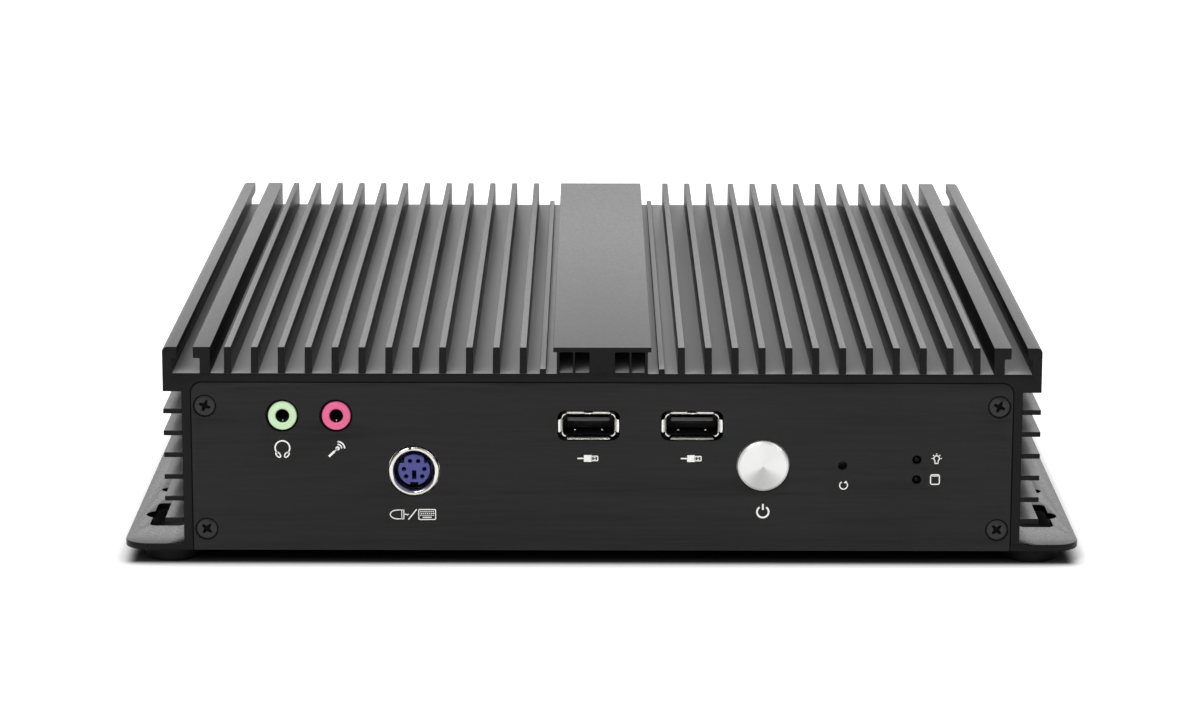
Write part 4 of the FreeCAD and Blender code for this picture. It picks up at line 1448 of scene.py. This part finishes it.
@dataclass
class RoundSocket(SubAssembly):
    """Keyboard and mouse socket: a plated ring round a keyed core with six pin holes."""

    ring: float = 6.15
    bore: float = 4.87
    core: float = 3.85
    core_recess: float = 1.0
    core_depth: float = 4.6
    lobe_half: float = 2.45
    ledge: float = 1.7
    low_notch: float = 1.0
    low_notch_top: float = -3.05
    key_half: float = 0.53
    key_low: float = -2.4
    key_high: float = -0.1
    pin_radius: float = 0.55
    pins: Sequence[Point] = (
        (-0.99, 2.2), (0.99, 2.2), (-2.5, 0.2), (2.5, 0.2), (-1.97, -1.65), (1.97, -1.65)
    )

    def core_outline(self, x: float, z: float) -> Outline:
        """Draws the core: a disc with two ledges over its middle and a notch below.

        Args:
            x: the socket's middle across.
            z: the socket's middle up.

        Returns:
            The outline.
        """
        ledge_angle = math.degrees(math.asin(self.ledge / self.core))
        notch_angle = math.degrees(math.asin(self.low_notch / self.core))
        lobe_angle = math.degrees(math.acos(self.lobe_half / self.core))
        side = arc(0, 0, self.core, -90 + notch_angle, ledge_angle, 22)
        lobe = arc(0, 0, self.core - 0.05, lobe_angle, 86, 8)
        half = [(self.low_notch, self.low_notch_top)] + side + [(self.lobe_half, self.ledge)] + lobe
        points = half + turned_over(half)
        return [(x + px, z + pz) for px, pz in softened(points, 0.22)]

    def build(self) -> None:
        """Makes the plated shell, the core with its holes and the body with its well."""
        low, high = levels("keyboard_port_shell")
        panel_low, panel_high = levels("front_panel")
        x, z = (low.x + high.x) / 2, (low.z + high.z) / 2
        face, back, ring, bore = low.y, high.y, self.ring, self.bore
        collar = lathe(
            [
                (back - face, ring), (0.5, ring), (0.22, ring - 0.09), (0.07, ring - 0.24),
                (0.02, ring - 0.45), (0.03, bore + 0.6), (0.16, bore + 0.32), (0.5, bore + 0.1),
                (0.9, bore), (back - face, bore),
            ],
            x, z, 72, start=face,
        )
        outlines = [face_of("keyboard_port_shell", 0.0, 0.3), circle(x, z, bore, 60)]
        flange = plate(outlines, panel_high.y, back, 0.08)
        self.piece(
            "keyboard_port_ring", joined([collar, flange]), NICKEL, NICKEL.name,
            ("keyboard_port_shell",),
        )
        notch = brick(
            (x - 1.35, face, z + ring - 0.75), (x - 0.55, face + 0.5, z + ring - 0.03), 0.05
        )
        self.piece("keyboard_port_ring_notch", notch, BLACK, NICKEL.name)
        core_face = panel_low.y + self.core_recess
        well_end = core_face + self.core_depth
        holes = [circle(x + px, z + pz, self.pin_radius, 20) for px, pz in self.pins]
        key = rounded_rectangle(
            x, z + (self.key_low + self.key_high) / 2, 2 * self.key_half,
            self.key_high - self.key_low, 0.08, 2,
        )
        core = plate([self.core_outline(x, z)] + holes + [key], core_face, well_end, 0.1)
        insert = ("keyboard_port_insert",)
        self.piece("keyboard_port_core", core, VIOLET, VIOLET.name, insert)
        body_low, body_high = levels("keyboard_port_insert")
        width = body_high.x - body_low.x
        body = plate([rounded_rectangle(x, z, width, width, 0.4)], well_end, body_high.y, 0.15)
        sleeve = lathe(
            [
                (back + 0.02, bore + 1.6), (back + 0.02, bore - 0.02), (well_end, bore - 0.02),
                (well_end, bore + 1.6),
            ],
            x, z, 60,
        )
        self.piece("keyboard_port_body", joined([body, sleeve]), BLACK, VIOLET.name, insert)


# ---------------------------------------------------------------- controls
@dataclass
class PowerButton(SubAssembly):
    """The push button: a turned disc with a bright bevel, on a collar."""

    body: str = POWER_BUTTON
    radius: float = 6.2
    collar: float = 7.3
    bevel: float = 0.5
    dish: float = 0.2

    def build(self) -> None:
        """Makes the turned cap."""
        low, high = levels("power_button_cap")
        x, z = (low.x + high.x) / 2, (low.z + high.z) / 2
        # the spun finish paints shade: its colour grows darker towards the bottom of the disc
        spun = Finish(
            "spun_button", (0.9, 0.9, 0.89), 0.42, 0.7, Grain.SPUN, 0.05, 0.04, 0.003,
            centre=Vector((x, low.y, z)) * MM, anisotropic=0.6, painted_shade_wedge=0.36,
        )
        behind, end = levels("front_panel")[1].y - low.y, high.y - low.y
        rim = self.radius - self.bevel
        cap = lathe(
            [
                (self.dish, 0.0), (self.dish * 0.5, self.radius * 0.46), (0.0, rim),
                (0.05, rim + 0.07), (self.bevel * 0.75, self.radius - 0.03),
                (self.bevel, self.radius), (behind, self.radius), (behind, self.collar),
                (end, self.collar), (end, 0.0),
            ],
            x, z, 96, False, low.y,
        )
        self.piece("power_button_disc", cap, spun, spun.name, ("power_button_cap",))


@dataclass
class Lamps(SubAssembly):
    """Two lamps behind small holes, their lenses near black as painted shade of the holes."""

    radius: float = 0.95
    foot: float = 1.0

    def build(self) -> None:
        """Makes both lamps with a domed tip."""
        for node in ("power_led", "drive_led"):
            low, high = levels(node)
            base = high.y - self.foot
            turns = [math.pi / 2 * n / 6 for n in range(7)]
            dome = [(self.radius * (1 - math.cos(a)), self.radius * math.sin(a)) for a in turns]
            stem = [(base - low.y, self.radius), (base - low.y, 0.0)]
            x, z = (low.x + high.x) / 2, (low.z + high.z) / 2
            tip = lathe(dome + stem, x, z, 32, False, low.y)
            foot = brick((low.x, base, low.z), high, 0.15)
            self.piece(node + "_lens", joined([tip, foot]), LAMP, LAMP.name, (node,))


# ---------------------------------------------------------------- print on the front panel
class Ink:
    """Flat strokes and shapes printed on the panel's face, in millimetres as (x, z)."""

    def __init__(self, y: float) -> None:
        """Starts an empty print.

        Args:
            y: the level that it lies on.
        """
        self.bm = bmesh.new()
        self.y = y

    def face(self, points: Outline) -> None:
        """Adds a filled convex shape, its winding set to face the front.

        Args:
            points: its corners.
        """
        area = sum(a[0] * b[1] - b[0] * a[1] for a, b in zip(points, points[1:] + points[:1]))
        ordered = points if area > 0 else list(reversed(points))
        self.bm.faces.new([self.bm.verts.new(Vector((x, self.y, z)) * MM) for x, z in ordered])

    def stroke(self, points: Outline, width: float, closed: bool = False) -> None:
        """Adds a line of even width along some points.

        Args:
            points: the points.
            width: the line's width.
            closed: joins the last point to the first.
        """
        ends = list(points) + ([points[0]] if closed else [])
        before = [ends[-2] if closed else ends[0]] + ends[:-1]
        after = ends[1:] + [ends[1] if closed else ends[-1]]
        sides = []
        for spot, back, ahead in zip(ends, before, after):
            run = Vector((ahead[0] - back[0], ahead[1] - back[1])).normalized()
            dx, dz = -run.y * width / 2, run.x * width / 2
            sides.append(((spot[0] + dx, spot[1] + dz), (spot[0] - dx, spot[1] - dz)))
        for (a, b), (c, d) in zip(sides, sides[1:]):
            self.face([a, b, d, c])

    def box(self, x: float, z: float, width: float, tall: float) -> None:
        """Adds a filled rectangle."""
        w, t = width / 2, tall / 2
        self.face([(x - w, z - t), (x + w, z - t), (x + w, z + t), (x - w, z + t)])

    def mesh(self) -> bpy.types.Mesh:
        """Ends the print.

        Returns:
            It as a mesh that faces the front.
        """
        mesh = bpy.data.meshes.new("ink")
        self.bm.to_mesh(mesh)
        self.bm.free()
        return mesh


@dataclass
class Pictograms(SubAssembly):
    """White pictograms under and beside the sockets, buttons and lamps."""

    line: float = 0.36
    lift: float = 0.02

    def headphones(self, ink: Ink, x: float, z: float) -> None:
        """Prints a head band with two ear cups.

        Args:
            ink: the print.
            x: the pictogram's place across.
            z: the pictogram's place up.
        """
        ink.stroke(arc(x, z + 0.35, 1.78, -48, 228, 28), self.line)
        for side in (-1, 1):
            c, s = math.cos(math.radians(-38)), math.sin(math.radians(-38)) * side
            oval = [(0.42 * px, 0.75 * pz) for px, pz in circle(0, 0, 1, 18)]
            loop = [
                (x + side * 1.05 + px * c - pz * s, z - 1.35 + px * s + pz * c) for px, pz in oval
            ]
            ink.stroke(loop, self.line * 0.9, True)

    def microphone(self, ink: Ink, x: float, z: float) -> None:
        """Prints a hand microphone with two sound waves.

        Args:
            ink: the print.
            x: the pictogram's place across.
            z: the pictogram's place up.
        """
        ink.stroke([(x - 2.15, z - 2.05), (x - 0.72, z - 0.7)], 0.56)
        ink.stroke([(x - 0.8, z - 0.78), (x, z)], 0.3)
        ink.face(circle(x, z, 0.52, 20))
        for radius in (1.0, 1.7):
            ink.stroke(arc(x, z, radius, 0, 90, 10), self.line)

    def mouse_or_keyboard(self, ink: Ink, x: float, z: float) -> None:
        """Prints a mouse with its lead, a slash, and a keyboard.

        Args:
            ink: the print.
            x: the pictogram's place across.
            z: the pictogram's place up.
        """
        nose = [(x - 4.0 + (a - x + 4.0) * 1.6, b) for a, b in arc(x - 4.0, z, 1.12, 90, 270, 16)]
        ink.stroke(nose + [(x - 2.45, z - 1.12), (x - 2.45, z + 1.12)], 0.24, True)
        ink.stroke([(x - 2.95, z + 1.12), (x - 2.95, z - 1.12)], 0.18)
        lead = [(x - 2.4, z), (x - 1.9, z + 0.05), (x - 1.6, z - 0.12), (x - 1.25, z + 0.1)]
        ink.stroke(lead, 0.24)
        ink.stroke([(x - 1.35, z - 1.3), (x + 0.7, z + 1.3)], 0.28)
        ink.stroke(rounded_rectangle(x + 3.25, z, 4.1, 2.5, 0.2, 3), 0.24, True)
        for row in range(3):
            for key in range(7):
                ink.box(x + 1.72 + key * 0.5 + (row % 2) * 0.12, z + 0.75 - row * 0.48, 0.3, 0.24)
        ink.box(x + 3.25, z - 0.72, 2.2, 0.24)

    def plug(self, ink: Ink, x: float, z: float) -> None:
        """Prints a flat plug on its lead, for the serial sockets.

        Args:
            ink: the print.
            x: the pictogram's place across.
            z: the pictogram's place up.
        """
        ink.stroke([(x - 2.7, z), (x - 1.1, z)], 0.34)
        ink.box(x - 0.2, z, 1.9, 1.7)
        ink.stroke(rounded_rectangle(x + 1.5, z, 1.5, 1.1, 0.12, 2), 0.26, True)
        for dz in (-0.22, 0.22):
            ink.box(x + 1.5, z + dz, 0.5, 0.2)

    def power(self, ink: Ink, x: float, z: float) -> None:
        """Prints a broken ring with a bar."""
        ink.stroke(arc(x, z, 1.42, 125, 415, 32), 0.44)
        ink.box(x, z + 1.25, 0.44, 1.5)

    def restart(self, ink: Ink, x: float, z: float) -> None:
        """Prints an open ring that ends in an arrow.

        Args:
            ink: the print.
            x: the pictogram's place across.
            z: the pictogram's place up.
        """
        ink.stroke(arc(x, z, 0.95, 118, 398, 28), 0.28)
        tip = arc(x, z, 0.95, 48, 48, 1)[0]
        corners = ((-0.62, -0.12), (0.42, -0.3), (-0.02, 0.46))
        ink.face([(tip[0] + dx, tip[1] + dz) for dx, dz in corners])

    def bulb(self, ink: Ink, x: float, z: float) -> None:
        """Prints a light bulb with rays.

        Args:
            ink: the print.
            x: the pictogram's place across.
            z: the pictogram's place up.
        """
        neck = [(x + 0.4, z - 1.05), (x + 0.4, z - 0.5)]
        neck_left = [(x - 0.4, z - 0.5), (x - 0.4, z - 1.05)]
        ink.stroke(neck + arc(x, z + 0.2, 0.68, -52, 232, 20) + neck_left, 0.26)
        ink.box(x, z - 1.04, 1.04, 0.28)
        for near, far in zip(arc(x, z + 0.2, 0.95, 0, 180, 4), arc(x, z + 0.2, 1.24, 0, 180, 4)):
            ink.stroke([near, far], 0.26)

    def drive(self, ink: Ink, x: float, z: float) -> None:
        """Prints a drum with a round lid.

        Args:
            ink: the print.
            x: the pictogram's place across.
            z: the pictogram's place up.
        """
        ink.stroke(rounded_rectangle(x, z, 2.15, 2.4, 0.4, 5), 0.27, True)
        lid = [(x - 0.95, z + 1.0), (x - 0.55, z + 0.86), (x + 0.55, z + 0.86), (x + 0.95, z + 1.0)]
        ink.stroke(lid, 0.2)

    def build(self) -> None:
        """Prints every pictogram beside what it stands for."""
        corner = levels("front_panel")[0]
        ink = Ink(corner.y - self.lift)
        for draw, node, dx, z in (
            (self.headphones, "headphone_jack", 0.0, 25.4),
            (self.microphone, "microphone_jack", 0.35, 25.65),
            (self.mouse_or_keyboard, "keyboard_port_shell", -0.1, 9.05),
            (self.plug, "front_usb_shell_left", 0.0, 23.25),
            (self.plug, "front_usb_shell_right", 0.0, 23.25),
            (self.power, "power_button_cap", 0.05, 9.85),
            (self.restart, "reset_switch", 0.3, 16.6),
            (self.bulb, "power_led", 4.8, 23.2),
            (self.drive, "power_led", 4.5, 18.1),
        ):
            draw(ink, middle_of(node).x + dx, corner.z + z)
        self.piece("front_pictograms", ink.mesh(), INK)


# ---------------------------------------------------------------- panels and plate
@dataclass
class Panels(SubAssembly):
    """Front and rear panel with their openings and screw seats."""

    screws: Screws = field(kw_only=True)
    opening_wide: float = 15.2
    opening_tall: float = 7.5
    opening_round: float = 1.8
    audio_hole: float = 4.05
    round_hole: float = 6.35
    button_hole: float = 6.5
    pinhole: float = 1.12
    fit: float = 0.25
    rim: float = 0.07
    upper_corner: float = 2.6
    lower_corner: float = 0.3
    shrink: float = 0.08
    gap: float = 0.22
    gap_depth: float = 0.3

    def sheet(self, node: str, holes: list[Outline]) -> bpy.types.Mesh:
        """Makes a panel from its outline, its openings and its screw seats.

        Args:
            node: the panel.
            holes: its openings.

        Returns:
            The mesh.
        """
        low, high = levels(node)
        seats = self.screws.seats(node)
        outlines = [self.rim_outline(low, high, -self.shrink)] + holes
        outlines += [circle(seat.x, seat.z, self.screws.hole_radius, 40) for seat in seats]
        body = plate(outlines, low.y, high.y, self.rim)
        return joined([body] + [self.screws.cup(seat, node) for seat in seats])

    def rim_outline(self, low: Vector, high: Vector, grow: float) -> Outline:
        """Draws a panel's outline, with large upper and small lower corners.

        Args:
            low: the panel's lowest corner.
            high: the panel's highest corner.
            grow: how far its top and sides are moved outwards.

        Returns:
            The outline.
        """
        r, s = self.upper_corner, self.lower_corner
        left, right, top = low.x - grow, high.x + grow, high.z + grow
        return (
            arc(right - r, top - r, r, 0, 90, 10) + arc(left + r, top - r, r, 90, 180, 10)
            + arc(left + s, low.z + s, s, 180, 270, 3) + arc(right - s, low.z + s, s, 270, 360, 3)
        )

    def gaps(self) -> bpy.types.Mesh:
        """Makes a dark frame in the gap between each panel and the extrusion: painted shade.

        Returns:
            Both gaps as one mesh.
        """
        frames = []
        for node, start, end in (
            ("front_panel", self.gap_depth, 0.0), ("rear_panel", 0.0, -self.gap_depth)
        ):
            low, high = levels(node)
            outer = self.rim_outline(low, high, self.gap - self.shrink - 0.01)
            inner = self.rim_outline(low, high, -self.shrink - 0.03)
            lowest = min(z for _, z in inner)
            inner = [(x, z + 0.02 if z == lowest else z) for x, z in inner]
            frames.append(plate([outer, inner], low.y + start, high.y + end, 0.005))
        return joined(frames)

    def opening(self, node: str, radius: float, steps: int) -> Outline:
        """Draws the opening round a flat serial socket.

        Args:
            node: the socket's shell.
            radius: radius of its corners.
            steps: straight pieces in each corner.

        Returns:
            The outline.
        """
        spot = middle_of(node)
        return rounded_rectangle(
            spot.x, spot.z, self.opening_wide, self.opening_tall, radius, steps
        )

    def front_holes(self) -> list[Outline]:
        """Draws the openings of the front panel.

        Returns:
            Their outlines.
        """
        holes = [self.opening("front_usb_shell_" + side, self.opening_round, 6) for side in SIDES]
        for node, radius in (
            ("headphone_jack", self.audio_hole), ("microphone_jack", self.audio_hole),
            ("keyboard_port_shell", self.round_hole), ("power_button_cap", self.button_hole),
            ("reset_switch_plunger", self.pinhole), ("power_led", self.pinhole),
            ("drive_led", self.pinhole),
        ):
            spot = middle_of(node)
            holes.append(circle(spot.x, spot.z, radius, 64 if radius > 2 else 32))
        return holes

    def rear_holes(self) -> list[Outline]:
        """Draws the openings of the rear panel.

        Returns:
            Their outlines.
        """
        nodes = ["lan_jack_shell_" + side for side in SIDES] + ["dc_power_jack", "video_port_shell"]
        return (
            [self.opening("rear_usb_shell_" + side, 0.2, 2) for side in SIDES]
            + [face_of(node, self.fit, 0.25, 2) for node in nodes]
        )

    def build(self) -> None:
        """Makes both panels and the painted shade in the gaps behind them."""
        front = self.sheet("front_panel", self.front_holes())
        self.piece("front_face_panel", front, PANEL, PANEL.name, ("front_panel",))
        rear = self.sheet("rear_panel", self.rear_holes())
        self.piece("rear_face_panel", rear, PANEL, PANEL.name, ("rear_panel",))
        # dark frames in the gaps round the panels: painted shade
        self.piece("panel_gaps", self.gaps(), PAINTED_SHADE_BLACK)


@dataclass
class BasePlate(SubAssembly):
    """Flanged base plate with keyholes and wall holes, on four rubber feet."""

    trees: Trees = field(kw_only=True)
    corner: float = 6.0
    notch_fit: float = 0.15
    keyhole_outer: float = 112.65
    keyhole_width: float = 8.45
    keyhole_start: float = 17.0
    keyhole_length: float = 22.0
    keyhole_corner: float = 1.5
    lobe_x: float = 111.1
    lobe_radius: float = 3.4
    wall_hole_x: float = 111.2
    wall_hole_inset: float = 52.9
    wall_hole_radius: float = 2.1
    screw_head: float = 2.5
    screw_hole: float = 2.6
    foot_radius: float = 7.5

    def keyhole(self, front: float) -> Outline:
        """Draws the front right keyhole: a slot with a lobe on its outer edge.

        Args:
            front: where the plate starts.

        Returns:
            The outline.
        """
        middle = front + self.keyhole_start + self.keyhole_length / 2
        slot = rounded_rectangle(
            self.keyhole_outer - self.keyhole_width / 2, middle, self.keyhole_width,
            self.keyhole_length, self.keyhole_corner, 5,
        )
        half = math.degrees(math.acos((self.keyhole_outer - self.lobe_x) / self.lobe_radius))
        return arc(self.lobe_x, middle, self.lobe_radius, -half, half, 24) + slot

    def sheet(self) -> bpy.types.Mesh:
        """Makes the flat plate upright and lays it down.

        Returns:
            The mesh.
        """
        low, high = levels("base_plate")
        panel_low, panel_high = levels("front_panel")
        notch = abs(panel_low.x) + self.notch_fit
        round_corner = arc(high.x - self.corner, low.y + self.corner, self.corner, -90, 0, 10)
        front_right = [(notch, panel_high.y), (notch, low.y)] + round_corner
        right = front_right + [(x, -y) for x, y in reversed(front_right)]
        hole = circle(self.wall_hole_x, low.y + self.wall_hole_inset, self.wall_hole_radius, 40)
        holes = [
            [(sx * x, sy * y) for x, y in shape]
            for shape in (self.keyhole(low.y), hole) for sx in (-1, 1) for sy in (-1, 1)
        ]
        screw_low, screw_high = levels("base_plate_screws")
        for x in (screw_low.x + self.screw_head, screw_high.x - self.screw_head):
            for y in (screw_low.y + self.screw_head, screw_high.y - self.screw_head):
                holes.append(circle(x, y, self.screw_hole, 40))
        mesh = plate([right + turned_over(right)] + holes, low.z, high.z, 0.12)
        mesh.transform(UPRIGHT)
        mesh.flip_normals()
        return smooth(mesh)

    def build(self) -> None:
        """Makes the plate and its feet."""
        self.piece("flanged_plate", self.sheet(), PLATE, PLATE.name, ("base_plate",))
        low, high = levels("rubber_feet")
        r, top = self.foot_radius, high.z
        foot = lathe(
            [
                (0.0, 0.0), (0.0, r * 0.8), (0.12, r * 0.86), (0.55, r * 0.9),
                (top - 0.3, r * 0.995), (top, r), (top, 0.0),
            ],
            steps=48, closed=False,
        )
        places = [
            Vector((x, y, 0.0)) for x in (low.x + r, high.x - r) for y in (low.y + r, high.y - r)
        ]
        feet = self.trees.copies(foot, places, RUBBER, (math.pi / 2, 0.0, 0.0))
        self.piece("rubber_foot_set", feet, RUBBER, RUBBER.name, ("rubber_feet",))


# ---------------------------------------------------------------- rear ports
@dataclass
class RearPorts(SubAssembly):
    """Contacts and lamp windows of the network ports, and contacts of the video port."""

    trees: Trees = field(kw_only=True)
    lan_contacts: int = 8
    lan_contact_pitch: float = 1.02
    lan_window_x: float = 5.4
    video_contacts: int = 9
    video_contact_pitch: float = 1.0
    video_contact_z: float = 2.0

    def row(
        self, name: str, bar: bpy.types.Mesh, middle: Vector, count: int, pitch: float
    ) -> None:
        """Makes a row of contacts along X.

        Args:
            name: the piece's name.
            bar: one contact.
            middle: the middle of the row.
            count: how many contacts.
            pitch: step from contact to contact.
        """
        first = -(count - 1) / 2 * pitch
        places = [middle + Vector((first + n * pitch, 0, 0)) for n in range(count)]
        self.piece(name, self.trees.copies(bar, places, GOLD), GOLD, NICKEL.name)

    def network(self, side: str) -> None:
        """Makes the contacts and lamp windows of one network jack.

        Args:
            side: left or right.
        """
        low, high = levels("lan_jack_insert_" + side)
        x = (low.x + high.x) / 2
        bar = brick((-0.2, -11.0, -2.5), (0.2, -2.2, -2.2), 0.04)
        middle = Vector((x, high.y, high.z))
        self.row(
            f"lan_jack_{side}_contacts", bar, middle, self.lan_contacts, self.lan_contact_pitch
        )
        for offset, title in ((-self.lan_window_x, "near"), (self.lan_window_x, "far")):
            window = brick(
                (x + offset - 1.5, high.y - 0.6, high.z - 1.7),
                (x + offset + 1.5, high.y + 0.12, high.z - 0.45), 0.12,
            )
            self.piece(f"lan_jack_{side}_{title}_window", window, WINDOW, LAMP.name)

    def build(self) -> None:
        """Makes every small rear piece."""
        for side in SIDES:
            self.network(side)
        low, high = levels("video_port_insert")
        bar = brick((-0.22, -6.0, -0.09), (0.22, -0.4, 0.0), 0.02)
        middle = Vector(((low.x + high.x) / 2, high.y, low.z + self.video_contact_z))
        self.row("video_port_contacts", bar, middle, self.video_contacts, self.video_contact_pitch)


# ---------------------------------------------------------------- carried-over solids
@dataclass
class CarriedOver:
    """CAD nodes whose shape stays, each with its finish."""

    finishes: dict[str, Finish] = field(
        default_factory=lambda: {
            "power_switch": BLACK, "power_switch_plunger": BLACK, "reset_switch": BLACK,
            "reset_switch_plunger": BLACK, "led_spacer": BLACK, "control_board": BOARD,
            "control_header": BLACK, "mainboard": BOARD, "processor": MILLED, "thermal_pad": PAD,
            "heat_block": MILLED, "chipset": CHIP, "memory_socket": BLACK, "memory_module": BOARD,
            "clock_battery": SLEEVE, "power_inductors": CHIP, "storage_socket": BLACK,
            "storage_module": BOARD, "storage_latch": BLACK, "dc_power_jack": BLACK,
            "dc_power_pin": NICKEL, "lan_jack_shell_left": NICKEL, "lan_jack_shell_right": NICKEL,
            "lan_jack_insert_left": BLACK, "lan_jack_insert_right": BLACK,
            "video_port_shell": NICKEL, "video_port_insert": BLACK,
        }
    )

    def build(self) -> None:
        """Gives every such node its material."""
        for node, finish in self.finishes.items():
            item = frame["nodes"][node]
            if not item.material_slots:
                item.data.materials.append(finish.material())
            for place in item.material_slots:
                place.material = finish.material()
            log.info("node %s: %s", node, finish.name)


# ---------------------------------------------------------------- studio
@dataclass
class Studio:
    """Pale floor, soft light and the camera; lengths in metres."""

    lens: float = 118.57
    sensor: float = 36.0
    place: Vector = field(default_factory=lambda: Vector((-2.502, -1050.707, 259.424)) * MM)
    pitch: float = 12.5753
    yaw: float = 0.1189
    roll: float = 0.1338
    aim: Vector = field(default_factory=lambda: Vector((0.0, 0.0, 0.03)))
    low_sky: float = 0.08
    high_sky: float = 0.9
    near_side: float = 0.2
    lift: float = 0.6
    lift_reach: float = 0.009
    inset: float = 0.003
    # painted shadow: share of the floor's colour kept under the plate, and how far out it fades
    painted_shadow: float = 0.05
    painted_shadow_reach: float = 0.004
    floor_half: float = 12.0

    def camera(self) -> None:
        """Places the camera."""
        data = bpy.data.cameras.new("camera")
        data.sensor_width = self.sensor
        data.lens = self.lens
        data.clip_start = 0.01
        data.clip_end = 50.0
        item = shown("camera", data)
        turn = Matrix.Rotation(-math.radians(self.yaw), 4, "Z")
        tilt = Matrix.Rotation(math.radians(90 - self.pitch), 4, "X")
        lean = Matrix.Rotation(math.radians(self.roll), 4, "Z")
        item.matrix_world = Matrix.Translation(self.place) @ turn @ tilt @ lean
        bpy.context.scene.camera = item

    def sky_light(self) -> None:
        """Sets the world: white to the camera, a white far side to mirrors, softer as light."""
        world = bpy.data.worlds.new("studio")
        bpy.context.scene.world = world
        world.use_nodes = True
        world.node_tree.nodes.clear()
        graph = Graph(world.node_tree)
        way = graph.add("ShaderNodeNewGeometry").outputs["Position"]
        strengths = (
            graph.mapped(graph.axis(way, "Z"), (0.0, 0.6), (self.low_sky, self.high_sky), True),
            graph.mapped(graph.axis(way, "Y"), (-0.35, 0.35), (self.near_side, 1.0), True),
            1.0,
        )
        white = (1.0, 1.0, 1.0, 1.0)
        lighting, mirrored, seen = (
            graph.add("ShaderNodeBackground", {"Color": white, "Strength": strength}).outputs[0]
            for strength in strengths
        )
        rays = graph.add("ShaderNodeLightPath").outputs
        clear = graph.math("MAXIMUM", rays["Is Camera Ray"], rays["Is Transmission Ray"])
        first = {"Fac": rays["Is Glossy Ray"], 1: lighting, 2: mirrored}
        unseen = graph.add("ShaderNodeMixShader", first).outputs["Shader"]
        both = graph.add("ShaderNodeMixShader", {"Fac": clear, 1: unseen, 2: seen})
        graph.add("ShaderNodeOutputWorld", {"Surface": both.outputs["Shader"]})

    def away(self, graph: Graph) -> Socket:
        """Measures how far a point of the floor lies outside the plate's footprint.

        Args:
            graph: the floor's tree.

        Returns:
            The distance from a rim set a little inwards, 0 within it.
        """
        low, high = levels("base_plate")
        half = (high - low) / 2 * MM
        rim = (half.x - self.inset, half.y - self.inset, 0.0)
        size = graph.vector("ABSOLUTE", graph.place())["Vector"]
        beyond = graph.vector("SUBTRACT", size, rim)["Vector"]
        outside = graph.vector("MAXIMUM", beyond, (0.0, 0.0, 0.0))["Vector"]
        return graph.vector("LENGTH", outside)["Value"]

    def lifted(self, graph: Graph, away: Socket) -> Socket:
        """Adds white for the camera: none under the object, more around it.

        Args:
            graph: the floor's tree.
            away: distance from the plate's footprint.

        Returns:
            The strength of the white.
        """
        rays = graph.add("ShaderNodeLightPath").outputs
        lift = graph.mapped(away, (self.inset, self.lift_reach), (0.0, self.lift), True)
        return graph.math("MULTIPLY", lift, rays["Is Camera Ray"])

    def floor(self) -> None:
        """Makes the white floor, which keeps the object's shadow; its colour is also darker under
        the plate's footprint, a painted shadow.
        """
        mesh = bpy.data.meshes.new("studio_floor")
        s = self.floor_half
        mesh.from_pydata([(-s, -s, 0), (s, -s, 0), (s, s, 0), (-s, s, 0)], [], [(0, 1, 2, 3)])
        item = shown("studio_floor", mesh)
        material = bpy.data.materials.new("studio_floor")
        material.use_nodes = True
        graph = Graph(material.node_tree)
        noise = graph.add("ShaderNodeTexNoise", {"Scale": 3.0, "Vector": graph.place()})
        mix = {"A": (0.86, 0.86, 0.86, 1), "B": (0.9, 0.9, 0.9, 1), "Factor": noise.outputs["Fac"]}
        colour = graph.add("ShaderNodeMix", mix, data_type="RGBA").outputs["Result"]
        away = self.away(graph)
        # painted shadow: the floor's colour is darker under the plate's footprint
        painted_shadow_share = graph.mapped(away, (0.0, self.painted_shadow_reach), (self.painted_shadow, 1.0), True)
        graph.fill(material.node_tree.nodes["Principled BSDF"], {
            "Roughness": 0.9, "Specular IOR Level": 0.0, "Emission Color": (1.0, 1.0, 1.0, 1.0),
            "Base Color": graph.scaled(colour, painted_shadow_share),
            "Emission Strength": self.lifted(graph, away),
        })
        mesh.materials.append(material)

    def lamp(self, name: str, spot: Sequence[float], size: float, power: float) -> None:
        """Adds a soft square lamp aimed at the object.

        Args:
            name: its name.
            spot: its place.
            size: its side.
            power: its power, in watts.
        """
        data = bpy.data.lights.new(name, "AREA")
        data.shape = "SQUARE"
        data.size = size
        data.energy = power
        item = shown(name, data)
        item.location = spot
        item.rotation_euler = (self.aim - Vector(spot)).to_track_quat("-Z", "Y").to_euler()

    def build(self) -> None:
        """Sets up the whole studio."""
        bpy.context.scene.view_settings.view_transform = "Standard"
        self.camera()
        self.sky_light()
        self.floor()
        self.lamp("key", (-0.6, -1.5, 1.3), 1.0, 17)
        self.lamp("fill", (1.3, -0.8, 1.2), 1.0, 5)
        self.lamp("back", (0.0, 2.2, 0.8), 2.0, 4)


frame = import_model()


def main() -> None:
    """Builds every sub-assembly, then the studio."""
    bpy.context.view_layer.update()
    trees = Trees()
    screws = Screws(trees=trees)
    parts: list[object] = [
        FinnedExtrusion(trees=trees),
        Panels(screws=screws),
        screws,
        BasePlate(trees=trees),
        AudioSocket(),
        AudioSocket(node="microphone_jack", finish=PINK),
        RoundSocket(),
        PowerButton(),
        Lamps(),
        Pictograms(),
        RearPorts(trees=trees),
        CarriedOver(),
        Studio(),
    ]
    parts += [
        FlatSocket(trees=trees, name=name, side=side)
        for name in ("front_usb", "rear_usb")
        for side in SIDES
    ]
    for part in parts:
        log.info("sub-assembly %s", type(part).__name__)
        part.build()


if __name__ == "__main__":
    main()
